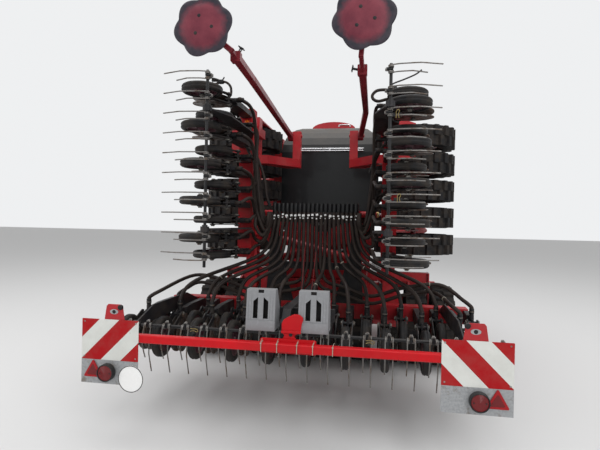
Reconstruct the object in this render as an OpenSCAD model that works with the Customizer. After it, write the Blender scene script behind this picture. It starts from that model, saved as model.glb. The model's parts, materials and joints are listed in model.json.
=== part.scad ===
// Folded seed drill, a towed machine 6 m wide at work and 3 m wide on the road.
// Millimetres. X points right, Y forward to the tractor, Z up from the ground.
// Lengths along Y are given from the light bar at the rear, and the whole
// machine is then shifted so that its middle lies at Y = 0.

/* [Machine] */
// Reach of the machine behind the light bar
rear_reach = 272; // [252:10:332]
// Reach of the machine ahead of the light bar, to the tip of the hitch
front_reach = 8120; // [7800:10:8500]
// Clearance round turning pins
run_gap = 0.1; // [0.05:0.01:0.3]
// Gap between faces that lie against each other
seat_gap = 0.3; // [0.1:0.1:1]

/* [Seed rows] */
// Distance between seed rows
row_pitch = 150; // [125:5:150]
// Seed rows on the middle section
centre_rows = 20; // [16:2:20]
// Seed rows on each wing
wing_rows = 10; // [6:2:10]
// Offset between the front and the rear rank of coulters
rank_step = 300; // [260:10:340]
// Diameter of a seed disc
seed_disc_d = 340; // [300:5:360]
// Thickness of a seed disc
seed_disc_t = 5; // [4:0.5:8]
// Angle between the two seed discs and the direction of travel
seed_disc_angle = 4; // [2:0.5:6]
// Diameter of a press wheel
press_d = 330; // [300:5:350]
// Width of a press wheel
press_w = 64; // [50:1:80]
// Height of the press wheel axles, with the coulters raised
press_z = 647; // [600:1:700]
// Place of the rear press wheel axles
press_y = 620; // [560:5:700]
// Distance from a press wheel axle forward to its seed disc axle
press_reach = 365; // [355:5:400]
// Drop of the seed disc axles below the press wheel axles
disc_drop = 50; // [20:5:80]
// Place of the seed bar
seed_bar_y = 1600; // [1560:10:1640]
// Height of the seed bar
seed_bar_z = 760; // [750:5:780]
// Side of the square seed bar
seed_bar_s = 140; // [130:5:150]

/* [Harrow] */
// Place of the harrow tube
harrow_y = 335; // [320:5:360]
// Height of the harrow tube
harrow_z = 800; // [780:5:830]
// Diameter of the harrow tube
harrow_tube_d = 42; // [34:1:50]
// Diameter of a tine's wire
tine_d = 10; // [8:0.5:12]
// Length of a tine below its coil
tine_len = 350; // [300:10:380]
// Length of a tine's short leg
tine_short = 250; // [200:10:280]
// Distance between a tine's two legs
tine_gap = 54; // [46:2:60]

/* [Packer] */
// Diameter of a packer tyre over its lugs
tyre_d = 900; // [860:10:920]
// Width of a packer tyre
tyre_w = 231; // [200:1:240]
// Distance between packer tyres
tyre_pitch = 300; // [290:5:310]
// Packer tyres on each half of the middle section, and on each wing
tyre_count = 5; // [4:1:5]
// Diameter of the wheel rim
rim_d = 500; // [480:10:520]
// Place of the packer axle
packer_y = 2600; // [2580:5:2620]
// Height of the tread lugs
lug_h = 28; // [20:1:32]
// Lugs on each half of a tyre
lug_count = 20; // [16:1:24]
// Diameter of the packer axle
packer_axle_d = 60; // [50:2:70]

/* [Discs in front] */
// Diameter of a tillage disc
till_d = 460; // [420:10:480]
// Distance between tillage discs in a rank
till_pitch = 250; // [240:5:260]
// Tillage discs in a rank, on each wing
till_wing_count = 6; // [4:1:6]
// Place of the rear rank
till_y = 3720; // [3700:10:3760]
// Distance from the rear rank to the front rank
till_step = 520; // [500:10:560]
// Height of the disc axles, raised for the road
till_z = 400; // [360:10:440]

/* [Wing fold] */
// Distance of the fold hinge from the middle
hinge_x = 865; // [850:1:880]
// Height of the fold hinge
hinge_z = 605; // [595:1:615]
// Place of the rear hinge
hinge_rear_y = 1950; // [1940:5:1960]
// Place of the front hinge
hinge_front_y = 3250; // [3240:5:3260]
// Diameter of the hinge pins
hinge_pin_d = 60; // [50:2:70]
// Thickness of the wing's hinge lug
lug_t = 40; // [30:2:50]
// Side of the square wing beams
wing_beam = 120; // [100:5:130]
// Height of the wing beams at work
wing_beam_z = 740; // [730:1:745]

/* [Hopper] */
// Width of the hopper
hopper_w = 1220; // [1100:10:1240]
// Rear face of the hopper
hopper_y = 2820; // [2800:10:2900]
// Length of the hopper
hopper_l = 2600; // [2400:10:2700]
// Height of the hopper's rim
hopper_top = 2870; // [2800:10:2900]
// Height of the hopper's bottom
hopper_bottom = 1330; // [1300:10:1400]
// Rise from the hopper's shoulder to its top
hopper_rise = 370; // [330:10:420]
// Half width of the filling opening
fill_half = 280; // [240:10:300]
// Thickness of the hopper's wall
hopper_wall = 10; // [6:1:16]

/* [Lights] */
// Height of the light bar
light_bar_z = 781; // [760:1:800]
// Side of the square light bar
light_bar_s = 55; // [50:1:60]
// Outer edge of the warning panels
panel_edge = 1424; // [1400:1:1450]
// Width of a warning panel
panel_w = 423; // [423:1:424]
// Height of a warning panel
panel_h = 282; // [282:1:283]
// Height of the panels' upper edge
panel_top = 906; // [890:1:920]
// Height of the lamp plate below a panel
lamp_plate_h = 165; // [150:5:180]

/* [Track markers] */
// Diameter of a marker disc over its lobes
marker_disc_d = 380; // [360:5:420]
// Lobes on the rim of a marker disc
marker_lobes = 8; // [6:1:10]
// Place of the marker pivots
marker_y = 2300; // [2280:5:2320]
// Height of the marker pivots, folded
marker_z = 2600; // [2560:5:2640]
// Distance of the marker pivots from the middle, folded
marker_x = 400; // [380:5:420]
// Side of the square marker arm
marker_arm_s = 70; // [60:2:80]

/* [Hidden] */
$fn = 64;

shift_y = (rear_reach - front_reach) / 2;
tyre_r = tyre_d / 2;
axle_z = tyre_r;
fold_sum = hinge_x + hinge_z;
section_half = centre_rows * row_pitch / 2;
rank_y = [press_y, press_y + rank_step];
disc_y = [press_y + press_reach, press_y + rank_step + press_reach];
disc_z = press_z - disc_drop;
// The seed discs lean on each other in front and clear the arm's web there
web_t = 14;
disc_offset = web_t / 2 + 0.6 + seed_disc_t / 2 + seed_disc_d / 2 * sin(seed_disc_angle);
wing_start = section_half + 5;
wing_end = section_half + wing_rows * row_pitch - 5;
frame_rail_x = 450;
frame_rail_w = 120;
frame_rail_h = 140;
frame_rail_z = 1000;
rail_inner = frame_rail_x - frame_rail_w / 2;
rail_outer = frame_rail_x + frame_rail_w / 2;
rail_top = frame_rail_z + frame_rail_h / 2;
rail_bottom = frame_rail_z - frame_rail_h / 2;
frame_front_y = 4700;
cross_end = 620;
cross_bottom = wing_beam_z;
seed_bar_top = seed_bar_z + seed_bar_s / 2;
seed_bar_rear = seed_bar_y - seed_bar_s / 2;
post_w = 80;
post_y = seed_bar_y - post_w / 2;
till_bar_y = till_y + till_step / 2 - 20;
till_bar_s = 100;
till_stagger = 50;
portal_z = 1450;
portal_w = wing_beam;
cyl_pin_x = 500;
cyl_pin_z = portal_z;
cyl_eye_x = 1430;
cyl_eye_z = 870;
cyl_d = 90;
cyl_rod_d = 50;
cyl_eye_t = 60;
cyl_eye_d = 110;
cyl_eye_fold_x = fold_sum - cyl_eye_z;
cyl_eye_fold_z = hinge_z + cyl_eye_x - hinge_x;
cyl_run = [cyl_eye_fold_x + cyl_pin_x, cyl_eye_fold_z - cyl_pin_z];
cyl_len = norm(cyl_run);
cyl_angle = atan2(cyl_run[1], cyl_run[0]);
cyl_barrel_l = cyl_len - 150;
// Each wing's cylinder lies against its own side of the rear wing beam.
cyl_y = [hinge_rear_y + wing_beam / 2 + 30 + cyl_eye_t / 2 + seat_gap,
    hinge_rear_y - wing_beam / 2 - 30 - cyl_eye_t / 2 - seat_gap];
// Track marker per side: tip across, tip height, disc offset across and up,
// and the bend of the arm across, along and up.
tip_x = 0;
tip_z = 1;
off_x = 2;
off_z = 3;
bend_x = 4;
bend_y = 5;
bend_z = 6;
marker_left = [320, 2660, 160, 130, 350, 420, 2668];
marker_right = [480, 2600, 15, 190, 472, 1500, 2680];
marker_disc_gap = 72;
marker_dome = 12;
marker_tip_y = marker_disc_gap + marker_dome - rear_reach;
marker_pin_d = 40;
marker_hub_t = 60;
marker_axle_d = 30;
lid_hinge_ys = [hopper_y + 600, hopper_y + hopper_l / 2, hopper_y + hopper_l - 600];
mast_x = wing_end - 455;
lock_y = 1770;
lock_z = 1700;
mast_arm_z = fold_sum - marker_x + marker_hub_t / 2 + 45 + seat_gap;
marker_work_x = hinge_x + marker_z - hinge_z;
stand_y = front_reach - 1620;
stand_z = 800;
stand_x = 170;
stand_pin_d = 40;
hitch_y = front_reach - 220;
hitch_pin_d = 37;
hitch_half = 430;
draw_w = 240;
draw_knee_y = frame_front_y + 500;
draw_neck_y = hitch_y - 300;
lid_hinge_x = 350;
lid_hinge_z = hopper_top + 22;
hopper_shoulder = hopper_top - hopper_rise;
lid_pin_d = 16;
lid_rise = 95;
rim_t = 12;
fill_inset = 480;
fan_y = 5700;
fan_z = 1400;
pipe_z = 1190;
pipe_d = 110;
pipe_end = 5400;
upright_t = 20;
rack_y = post_y - seat_gap - upright_t;
hose_d = 34;
rack_half = 400;
seed_tube_back = 30;
seed_tube_top = disc_z + 240;
lamp_d = 118;
lamp_in = 200;
lamp_drop = 80;
sign_d = 185;
chock_front = 250;

// Turns its child about the upright line through a point.
module rotate_about(point, angle) {
    translate(point) rotate([0, 0, angle]) translate(-point) children();
}

module seat() {
    translate([0, shift_y, 0]) children();
}

// Turns a wing, drawn at work on the right, up into its road position.
module folded(side) {
    mirror([side < 0 ? 1 : 0, 0, 0])
        translate([hinge_x, 0, hinge_z])
        rotate([0, -90, 0])
        translate([-hinge_x, 0, -hinge_z])
        children();
}

// Square tube along X, from x0 to x1, its middle at y and z.
module beam_x(x0, x1, y, z, w, h) {
    translate([x0, y - w / 2, z - h / 2]) cube([x1 - x0, w, h]);
}

module beam_y(y0, y1, x, z, w, h) {
    translate([x - w / 2, y0, z - h / 2]) cube([w, y1 - y0, h]);
}

module beam_z(z0, z1, x, y, w, l) {
    translate([x - w / 2, y - l / 2, z0]) cube([w, l, z1 - z0]);
}

// Square tube between two points, its ends drawn out by half its side.
module square_between(a, b, side) {
    run = b - a;
    translate(a)
        rotate([0, acos(run[2] / norm(run)), atan2(run[1], run[0])])
        translate([-side / 2, -side / 2, -side / 2])
        cube([side, side, norm(run) + side]);
}

module cyl_x(x0, x1, y, z, d) {
    translate([x0, y, z]) rotate([0, 90, 0]) cylinder(h = x1 - x0, d = d);
}

module cyl_y_bar(y0, y1, x, z, d) {
    translate([x, y0, z]) rotate([-90, 0, 0]) cylinder(h = y1 - y0, d = d);
}

// Plate in the YZ plane, its outline given as [y, z] points, its middle at x.
module plate_yz(x, t, points) {
    translate([x - t / 2, 0, 0])
        rotate([90, 0, 90])
        linear_extrude(height = t)
        polygon(points);
}

// Plate in the XZ plane, its outline given as [x, z] points, its middle at y.
module plate_xz(y, t, points) {
    translate([0, y + t / 2, 0])
        rotate([90, 0, 0])
        linear_extrude(height = t)
        polygon(points);
}

function unit(v) = v / norm(v);

// Points of a smooth curve through a route, with steps points to a stretch.
function smooth(route, steps) =
    let (last = len(route) - 1)
    concat([for (i = [0 : last - 1], k = [0 : steps - 1])
        between(route[max(i - 1, 0)], route[i], route[i + 1], route[min(i + 2, last)], k / steps)],
        [route[last]]);

// Point at the share t of the way from b to c, on a curve that also knows a and d.
function between(a, b, c, d, t) =
    b + t * ((c - a) / 2 + t * ((a - 2.5 * b + 2 * c - 0.5 * d) + t * (1.5 * (b - c) + (d - a) / 2)));

// Round hose along a path of points that never runs straight along Y.
module tube(path, d, sides) {
    last = len(path) - 1;
    rings = [for (i = [0 : last])
        let (along = unit(path[min(i + 1, last)] - path[max(i - 1, 0)]),
            across = unit(cross(along, [0, 1, 0])),
            up = cross(along, across))
        for (k = [0 : sides - 1])
            path[i] + d / 2 * (cos(360 * k / sides) * across + sin(360 * k / sides) * up)];
    walls = [for (i = [0 : last - 1], k = [0 : sides - 1])
        let (a = i * sides + k, b = i * sides + (k + 1) % sides)
        each [[a, b + sides, b], [a, a + sides, b + sides]]];
    polyhedron(rings, concat(walls, [[for (k = [0 : sides - 1]) k]],
        [[for (k = [sides - 1 : -1 : 0]) last * sides + k]]));
}

// Row places of a section that starts at x0.
function row_x(x0, i) = x0 + row_pitch * (i + 0.5);

// Coulter arms, the press wheel arms behind them and all axle stubs of a section.
module coulter_arms(x0, rows, first_rank) {
    for (i = [0 : rows - 1]) {
        rank = (i + first_rank) % 2;
        coulter_arm(row_x(x0, i), rank_y[rank], disc_y[rank]);
    }
}

module coulter_arm(x, wheel_y, hub_y) {
    pivot_y = hub_y - 65;
    pivot_z = disc_z + 175;
    top_z = disc_z + 215;
    // Web with the disc hub, and the box arm that carries it
    plate_yz(x, web_t, [[hub_y - 35, disc_z - 15], [hub_y + 40, disc_z - 20],
        [hub_y + 190, disc_z + 95], [hub_y + 190, top_z - 10],
        [hub_y + 30, top_z], [hub_y - 85, top_z - 15],
        [hub_y - 85, disc_z + 150], [hub_y - 25, disc_z + 120]]);
    plate_yz(x, 50, [[hub_y + 60, disc_z + 168], [hub_y + 120, disc_z + 150], [hub_y + 200, disc_z + 100],
        [seed_bar_rear - 60, disc_z + 110],
        [seed_bar_rear + 1, seed_bar_z - 50], [seed_bar_rear + 1, seed_bar_z + 50],
        [seed_bar_rear - 40, top_z + 12], [hub_y + 185, top_z + 12], [hub_y + 60, top_z]]);
    cyl_x(x - 34, x + 34, hub_y, disc_z, 30);
    translate([x, hub_y - seed_tube_back, disc_z + 150]) cylinder(h = 30, d = 28);
    translate([x, hub_y - seed_tube_back, disc_z + 176]) cylinder(h = seed_tube_top - disc_z - 176, d = 40);
    for (side = [-1, 1]) {
        plate_yz(x + side * (press_w / 2 + 9), 8,
            [[wheel_y - 20, press_z - 20], [wheel_y + 30, press_z - 25],
            [pivot_y - 20, pivot_z - 25], [pivot_y + 22, pivot_z - 22],
            [pivot_y + 22, pivot_z + 22], [pivot_y - 20, pivot_z + 25],
            [wheel_y + 30, press_z + 25], [wheel_y - 20, press_z + 20]]);
    }
    cyl_x(x - press_w / 2 - 13, x + press_w / 2 + 13, pivot_y, pivot_z, 24);
    cyl_x(x - press_w / 2 - 13, x + press_w / 2 + 13, wheel_y, press_z, 20);
}

module seed_disc_pairs(x0, rows, first_rank) {
    for (i = [0 : rows - 1]) {
        rank = (i + first_rank) % 2;
        for (side = [-1, 1]) {
            translate([row_x(x0, i) + side * disc_offset, disc_y[rank], disc_z])
                rotate([0, 90, side * seed_disc_angle])
                difference() {
                    cylinder(h = seed_disc_t, d = seed_disc_d, center = true);
                    cylinder(h = 3 * seed_disc_t, d = 31, center = true);
                }
        }
    }
}

// Press wheels of one rank: a rounded tyre on a dished rim with a bore.
module press_wheels(x0, rows, first_rank, rank) {
    for (i = [0 : rows - 1]) {
        if ((i + first_rank) % 2 == rank) {
            translate([row_x(x0, i), rank_y[rank], press_z]) rotate([0, 90, 0]) press_wheel();
        }
    }
}

module press_wheel() {
    r = press_d / 2;
    h = press_w / 2;
    rotate_extrude()
        polygon([[10 + run_gap, -h + 2], [28, -h + 2], [32, -10], [r - 58, -10], [r - 50, -h + 6],
            [r - 22, -h], [r - 6, -h + 12], [r, -10], [r, 10], [r - 6, h - 12], [r - 22, h],
            [r - 50, h - 6], [r - 58, 10], [32, 10], [28, h - 2], [10 + run_gap, h - 2]]);
}

module harrow(x0, rows) {
    x1 = x0 + rows * row_pitch;
    cyl_x(x0 + 15, x1 - 15, harrow_y, harrow_z, harrow_tube_d);
    for (i = [0 : rows - 1]) {
        translate([row_x(x0, i) + 20, harrow_y, harrow_z]) tine();
    }
}

// Arms of the seed bar that carry the harrow tube, each with a split collar.
module harrow_arms(x0, rows) {
    bore = harrow_tube_d + 2 * seat_gap;
    for (x = [x0 + 2 * row_pitch, x0 + (rows - 2) * row_pitch]) {
        difference() {
            union() {
                plate_yz(x, 12, [[harrow_y - 10, harrow_z + 20], [harrow_y + 18, harrow_z - 20],
                    [seed_bar_rear + 1, seed_bar_z + 30], [seed_bar_rear + 1, seed_bar_z + 60],
                    [seed_bar_y - 330, seed_bar_z + 150], [harrow_y + 260, seed_bar_z + 150]]);
                cyl_x(x - 20, x + 20, harrow_y, harrow_z, harrow_tube_d + 24);
            }
            cyl_x(x - 40, x + 40, harrow_y, harrow_z, bore);
        }
    }
}

// Double tine: two coils on the tube, joined by a bridge in front, with a long
// leg that hangs from one and a shorter leg from the other.
module tine() {
    coil_r = harrow_tube_d / 2;
    leg_y = -coil_r - tine_d;
    for (leg = [[1, tine_len], [-1, tine_short]]) {
        translate([leg[0] * (tine_gap - tine_d) / 2, 0, 0])
            rotate([0, 90, 0]) rotate_extrude()
            polygon(concat([[coil_r - 1, tine_d], [coil_r - 1, -tine_d]],
                [for (turn = [-0.5, 0.5], a = [-60 : 60 : 60])
                    [coil_r + tine_d / 2 + tine_d / 2 * cos(a), turn * tine_d + tine_d / 2 * sin(a)]]));
        plate_yz(leg[0] * tine_gap / 2, tine_d - 1, [[leg_y + 1, 0], [leg_y - 12, -leg[1] * 0.6],
            [leg_y + 35, -leg[1]], [leg_y + 35 + tine_d, -leg[1] + 3],
            [leg_y - 12 + tine_d, -leg[1] * 0.6], [leg_y + 1 + tine_d, 0]]);
    }
    translate([0, coil_r + tine_d / 2, 0]) cube([tine_gap, tine_d - 1, tine_d - 1], center = true);
}

// Packer tyre, its axis along X: a carcass and a ring of slanting lugs on each half.
// The lugs of one half stand between those of the other.
module packer_tyre() {
    h = tyre_w / 2;
    r = tyre_r - lug_h;
    rotate([0, 90, 0]) rotate_extrude()
        polygon([[rim_d / 2, -h * 0.72], [r - 100, -h * 0.98], [r - 55, -h], [r - 15, -h * 0.9], [r, -h * 0.6],
            [r, h * 0.6], [r - 15, h * 0.9], [r - 55, h], [r - 100, h * 0.98], [rim_d / 2, h * 0.72]]);
    for (half = [0, 1]) {
        translate([half * (h * 0.94) - h * 0.94, 0, 0])
            rotate([0, 90, 0])
            linear_extrude(height = h * 0.94)
            tread_outline(half * 180 / lug_count);
    }
}

// Outline of one ring of lugs, each narrower at its top.
module tread_outline(turn) {
    step = 360 / lug_count;
    difference() {
        polygon([for (i = [0 : lug_count - 1], c = [[-0.24, -lug_h - 2], [-0.17, 0], [0.17, 0], [0.24, -lug_h - 2]])
            (tyre_r + c[1]) * [cos(turn + step * (i + c[0])), sin(turn + step * (i + c[0]))]]);
        circle(r = tyre_r - lug_h - 30);
    }
}

module packer_rim() {
    h = tyre_w / 2 * 0.72;
    r = rim_d / 2;
    hub_r = packer_axle_d / 2;
    rotate([0, 90, 0]) rotate_extrude()
        polygon([[hub_r + run_gap, -70], [hub_r + 22, -70], [hub_r + 30, -20], [r - 60, 5], [r - 28, -h],
            [r - seat_gap, -h], [r - seat_gap, h], [r - 28, h], [r - 52, 20],
            [hub_r + 30, 0], [hub_r + 22, 70], [hub_r + run_gap, 70]]);
}

module packer_row(x0) {
    for (i = [0 : tyre_count - 1]) {
        translate([x0 + tyre_pitch * (i + 0.5), packer_y, axle_z]) children();
    }
}

// Tillage discs of a section: two ranks of slightly dished discs on their arms.
module tillage(x0, count, stagger) {
    x1 = x0 + count * till_pitch;
    beam_x(x0 + 55, x1 - 55, till_bar_y, wing_beam_z, till_bar_s, till_bar_s);
    for (rank = [0, 1]) {
        for (i = [0 : count - 1]) {
            y = till_y + rank * till_step;
            x = x0 + till_pitch * (i + 0.5) + (rank == 0 ? -stagger : stagger);
            turn = rank == 0 ? 17 : -17;
            translate([x, y, till_z]) rotate([0, 90, turn]) rotate_extrude()
                polygon([[0, 0], [90, 0], [till_d / 2, -38], [till_d / 2, -44], [90, -7], [0, -7]]);
            side = rank == 0 ? 1 : -1;
            bar_face = till_bar_y - side * (till_bar_s / 2 + seat_gap);
            plate_yz(x, 26, [[y - side * 30, till_z - 30], [y + side * 30, till_z - 30],
                [bar_face, wing_beam_z - 45], [bar_face, wing_beam_z + 45],
                [y + side * 25, wing_beam_z - 20], [y - side * 25, till_z + 60]]);
        }
    }
}

module main_frame() color("firebrick") seat() {
    for (side = [-1, 1]) {
        beam_y(post_y, frame_front_y, side * frame_rail_x, frame_rail_z, frame_rail_w, frame_rail_h);
        beam_z(rail_top + seat_gap, portal_z - 60 - seat_gap, side * frame_rail_x, hinge_rear_y, 100, portal_w);
        beam_z(seed_bar_top + seat_gap, frame_rail_z, side * frame_rail_x, seed_bar_y, 100, post_w);
        beam_z(wing_beam_z + till_bar_s / 2 + seat_gap, frame_rail_z,
            side * frame_rail_x, till_bar_y, 100, till_bar_s);
    }
    beam_x(-cyl_pin_x - 50, cyl_pin_x + 50, hinge_rear_y, portal_z, portal_w, 120);
    for (y = [hinge_rear_y, hinge_front_y]) {
        translate([-cross_end, y - wing_beam / 2, cross_bottom])
            cube([2 * cross_end, wing_beam, frame_rail_z - cross_bottom]);
        for (side = [-1, 1]) {
            for (face = [-1, 1]) hinge_cheek(side, y + face * (lug_t / 2 + 13));
            cyl_y_bar(y - lug_t / 2 - 30, y + lug_t / 2 + 30, side * hinge_x, hinge_z, hinge_pin_d);
        }
    }
    beam_x(-frame_rail_x, frame_rail_x, frame_front_y - 80, frame_rail_z, 160, frame_rail_h);
    for (y = [2950, 3750, 4550]) hopper_saddle(y);
    for (side = [-1, 1]) {
        wing_lock(side);
        // Gussets between the rails and the cross tubes, and under the hopper's rear yoke
        for (y = [hinge_rear_y, hinge_front_y]) {
            for (face = [-1, 1]) gusset(side, y + face * wing_beam / 2, face);
        }
    }
    // Pins that carry the fold cylinders, each seated on a face of the portal's beam
    pin_face = portal_w / 2 + seat_gap;
    cyl_y_bar(hinge_rear_y + pin_face, cyl_y[0] + cyl_eye_t / 2 + 8, cyl_pin_x, cyl_pin_z, 40);
    cyl_y_bar(cyl_y[1] - cyl_eye_t / 2 - 8, hinge_rear_y - pin_face, -cyl_pin_x, cyl_pin_z, 40);
}

// Short cylinder whose clevis holds a folded wing, on a bracket of the portal.
module wing_lock(side) {
    top = portal_z + 60 + seat_gap;
    plate_yz(side * 430, 20, [[hinge_rear_y + 50, top], [hinge_rear_y - 55, top],
        [lock_y + 60, lock_z - 100], [lock_y - 35, lock_z - 50], [lock_y - 35, lock_z + 35],
        [lock_y + 35, lock_z + 35], [hinge_rear_y - 20, lock_z - 60], [hinge_rear_y + 50, top + 20]]);
    mirror([side < 0 ? 1 : 0, 0, 0]) {
        cyl_x(415, 600, lock_y, lock_z, 60);
        cyl_x(600, 618, lock_y, lock_z, 48);
        cyl_x(618, 700, lock_y, lock_z, 26);
        difference() {
            translate([690, lock_y - 28, lock_z - 28]) cube([90, 56, 56]);
            translate([722, lock_y - 10, lock_z - 40]) cube([70, 20, 80]);
            cyl_y_bar(lock_y - 60, lock_y + 60, 755, lock_z, 22);
        }
    }
}

// Upright gusset with a hole, in the corner of a rail and a cross tube's face.
module gusset(side, y, face) {
    reach = 180;
    difference() {
        plate_yz(side * (rail_outer + 8), 16, [[y - face, rail_bottom - 1], [y + face * reach, rail_bottom - 1],
            [y + face * reach, rail_bottom + 30], [y - face, rail_top - 20]]);
        cyl_x(-cross_end, cross_end, y + face * 50, rail_bottom + 45, 36);
    }
    plate_yz(side * (rail_outer - 8), 16, [[y - face, rail_bottom + 1], [y + face * reach, rail_bottom + 1],
        [y - face, cross_bottom + 20]]);
}

// Cheek plate that carries a fold hinge's pin.
module hinge_cheek(side, y) {
    plate_xz(y, 22, [[side * 560, cross_bottom + 10], [side * 580, hinge_z - 35],
        [side * (hinge_x + 20), hinge_z - 65], [side * (hinge_x + 65), hinge_z - 20],
        [side * (hinge_x + 65), hinge_z + 25], [side * (hinge_x + 20), hinge_z + 65],
        [side * 620, 860], [side * 560, 860]]);
}

// Yoke that stands on the rails and cradles the hopper.
module hopper_saddle(y) {
    difference() {
        plate_xz(y, 40, [[-rail_outer, rail_top + seat_gap], [rail_outer, rail_top + seat_gap],
            [rail_outer + 60, 1640], [-rail_outer - 60, 1640]]);
        hopper_body(-seat_gap);
        plate_xz(y, 60, [[-300, rail_top + 60], [300, rail_top + 60], [200, hopper_bottom - 50],
            [-200, hopper_bottom - 50]]);
    }
}

// The drawbar's top edge falls from the frame to its neck.
function draw_top(y) = rail_top - (y - draw_knee_y) * 350 / (draw_neck_y - draw_knee_y);

module drawbar() color("firebrick") seat() {
    front = frame_front_y + seat_gap;
    plate_yz(0, draw_w, [[front, rail_bottom], [front, rail_top], [draw_knee_y, rail_top],
        [draw_neck_y, draw_top(draw_neck_y)], [hitch_y - 60, 700], [hitch_y - 60, 560],
        [draw_neck_y - 100, 560], [draw_knee_y, 880]]);
    cyl_x(-stand_x - 40, stand_x + 40, stand_y, stand_z, stand_pin_d);
    // Swivel housing of the hitch
    translate([0, hitch_y, 520]) cylinder(h = 220, d = 170);
    translate([0, hitch_y, 440]) cylinder(h = 380, d = 70 - 2 * run_gap);
}

module hitch_cross() color("dimgray") seat() {
    for (z = [460, 760]) {
        difference() {
            union() {
                translate([0, hitch_y, z]) cylinder(h = 40, d = 150);
                translate([-60, hitch_y + 40, z]) cube([120, 80, 40]);
            }
            translate([0, hitch_y, z - 10]) cylinder(h = 60, d = 70);
        }
    }
    plate_xz(hitch_y + 120, 40, [[-60, 460], [60, 460], [60, 800], [-60, 800]]);
    beam_x(-hitch_half, hitch_half, hitch_y + 160, 630, 120, 110);
    cyl_x(-hitch_half - 85, hitch_half + 85, hitch_y + 160, 630, hitch_pin_d);
}

// Two legs, one on each side of the drawbar, that swing up for the road.
module parking_stand() color("dimgray") seat() {
    for (side = [-1, 1]) {
        difference() {
            union() {
                beam_z(12, stand_z, side * stand_x, stand_y, 60, 80);
                cyl_x(side * stand_x - 30, side * stand_x + 30, stand_y, stand_z, 110);
                translate([side > 0 ? stand_x - 30 : -stand_x - 130, stand_y - 100, 0]) cube([160, 200, 12]);
            }
            cyl_x(side * stand_x - 50, side * stand_x + 50, stand_y, stand_z, stand_pin_d + 2 * run_gap);
        }
    }
}

module packer_frame() color("firebrick") seat() {
    beam_z = 1000;
    // The outer plates stand between two tyres, clear of the way of a folding wing
    outer_x = section_half - tyre_pitch;
    for (x = [-outer_x, 0, outer_x]) {
        plate_yz(x, 14, [[packer_y - 60, axle_z - 60], [packer_y + 60, axle_z - 60],
            [packer_y + 90, beam_z + 50], [packer_y - 90, beam_z + 50]]);
    }
    for (side = [-1, 1]) {
        beam_x(side > 0 ? rail_outer + seat_gap : -outer_x - 7,
            side > 0 ? outer_x + 7 : -rail_outer - seat_gap, packer_y, beam_z, 100, 100);
    }
    beam_x(-rail_inner + seat_gap, rail_inner - seat_gap, packer_y, beam_z, 100, 100);
    cyl_x(-section_half + 30, section_half - 30, packer_y, axle_z, packer_axle_d);
}

module hopper() color("dimgray") seat() {
    difference() {
        hopper_body(0);
        hopper_body(hopper_wall);
        fill_box(0, hopper_top - 60, 200);
    }
    // Raised rim round the opening
    difference() {
        fill_box(rim_t, hopper_top - 5, 20);
        fill_box(0, hopper_top - 60, 200);
    }
    // Hinge ears of the lid, each with its pin
    for (y = lid_hinge_ys) {
        translate([-lid_hinge_x - 20, y - 40, hopper_top - 30]) cube([40, 20, 62]);
        cyl_y_bar(y - 40, y + 22, -lid_hinge_x, lid_hinge_z, lid_pin_d);
    }
    // Bright rail across the rear face
    translate([-270, hopper_y - 10, hopper_shoulder + 8]) cube([540, 12, 32]);
}

// Box over the filling opening, wider than it by a margin all round.
module fill_box(margin, z, h) {
    translate([-fill_half - margin, hopper_y + fill_inset - margin, z])
        cube([2 * (fill_half + margin), hopper_l - 2 * (fill_inset - margin), h]);
}

// Hopper body: an end outline with elliptical shoulders, met by a side outline
// with a rounded rear and front edge. Both shrink by the inset.
module hopper_body(inset) {
    w = hopper_w / 2 - inset;
    flat = 320;
    rise = hopper_top - hopper_shoulder - inset;
    edge = 400;
    front = hopper_y + hopper_l;
    low = hopper_bottom + inset;
    shoulder = [for (a = [0 : 15 : 90]) [flat + (w - flat) * cos(a), hopper_shoulder + rise * sin(a)]];
    intersection() {
        translate([0, hopper_y - 1, 0]) rotate([-90, 0, 0]) mirror([0, 1, 0])
            linear_extrude(height = hopper_l + 2)
            polygon(concat([[-260, low], [260, low], [w, hopper_bottom + 420]], shoulder,
                [for (i = [len(shoulder) - 1 : -1 : 0]) [-shoulder[i][0], shoulder[i][1]]],
                [[-w, hopper_bottom + 420]]));
        plate_yz(0, hopper_w + 20, concat([[hopper_y + 330, low], [front - 330, low],
            [front - inset, hopper_bottom + 420]],
            [for (a = [0 : 15 : 90]) [front - edge + (edge - inset) * cos(a), hopper_shoulder + rise * sin(a)]],
            [for (a = [90 : 15 : 180]) [hopper_y + edge + (edge - inset) * cos(a), hopper_shoulder + rise * sin(a)]],
            [[hopper_y + inset, hopper_bottom + 420]]));
    }
}

// Curved lid over the filling opening, closed at both ends, hinged along its left edge.
module hopper_lid() color("firebrick") seat() {
    rim = hopper_top + 15 + seat_gap;
    lid_half = fill_half + rim_t;
    lid_y = hopper_y + fill_inset - rim_t;
    lid_l = hopper_l - 2 * fill_inset + 2 * rim_t;
    lid_t = 8;
    difference() {
        lid_arch(lid_y, lid_l, lid_half, lid_rise, rim);
        lid_arch(lid_y + lid_t, lid_l - 2 * lid_t, lid_half - lid_t, lid_rise - lid_t, rim - 1);
    }
    for (y = lid_hinge_ys) {
        difference() {
            union() {
                cyl_y_bar(y - 19, y + 19, -lid_hinge_x, lid_hinge_z, 36);
                translate([-lid_hinge_x, y - 19, lid_hinge_z]) cube([lid_hinge_x - lid_half + 6, 38, 14]);
            }
            cyl_y_bar(y - 50, y + 50, -lid_hinge_x, lid_hinge_z, lid_pin_d + 2 * run_gap);
        }
    }
    // Grip on the right edge
    translate([lid_half - 30, hopper_y + 700, rim + 20]) cube([60, 160, 12]);
}

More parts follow.
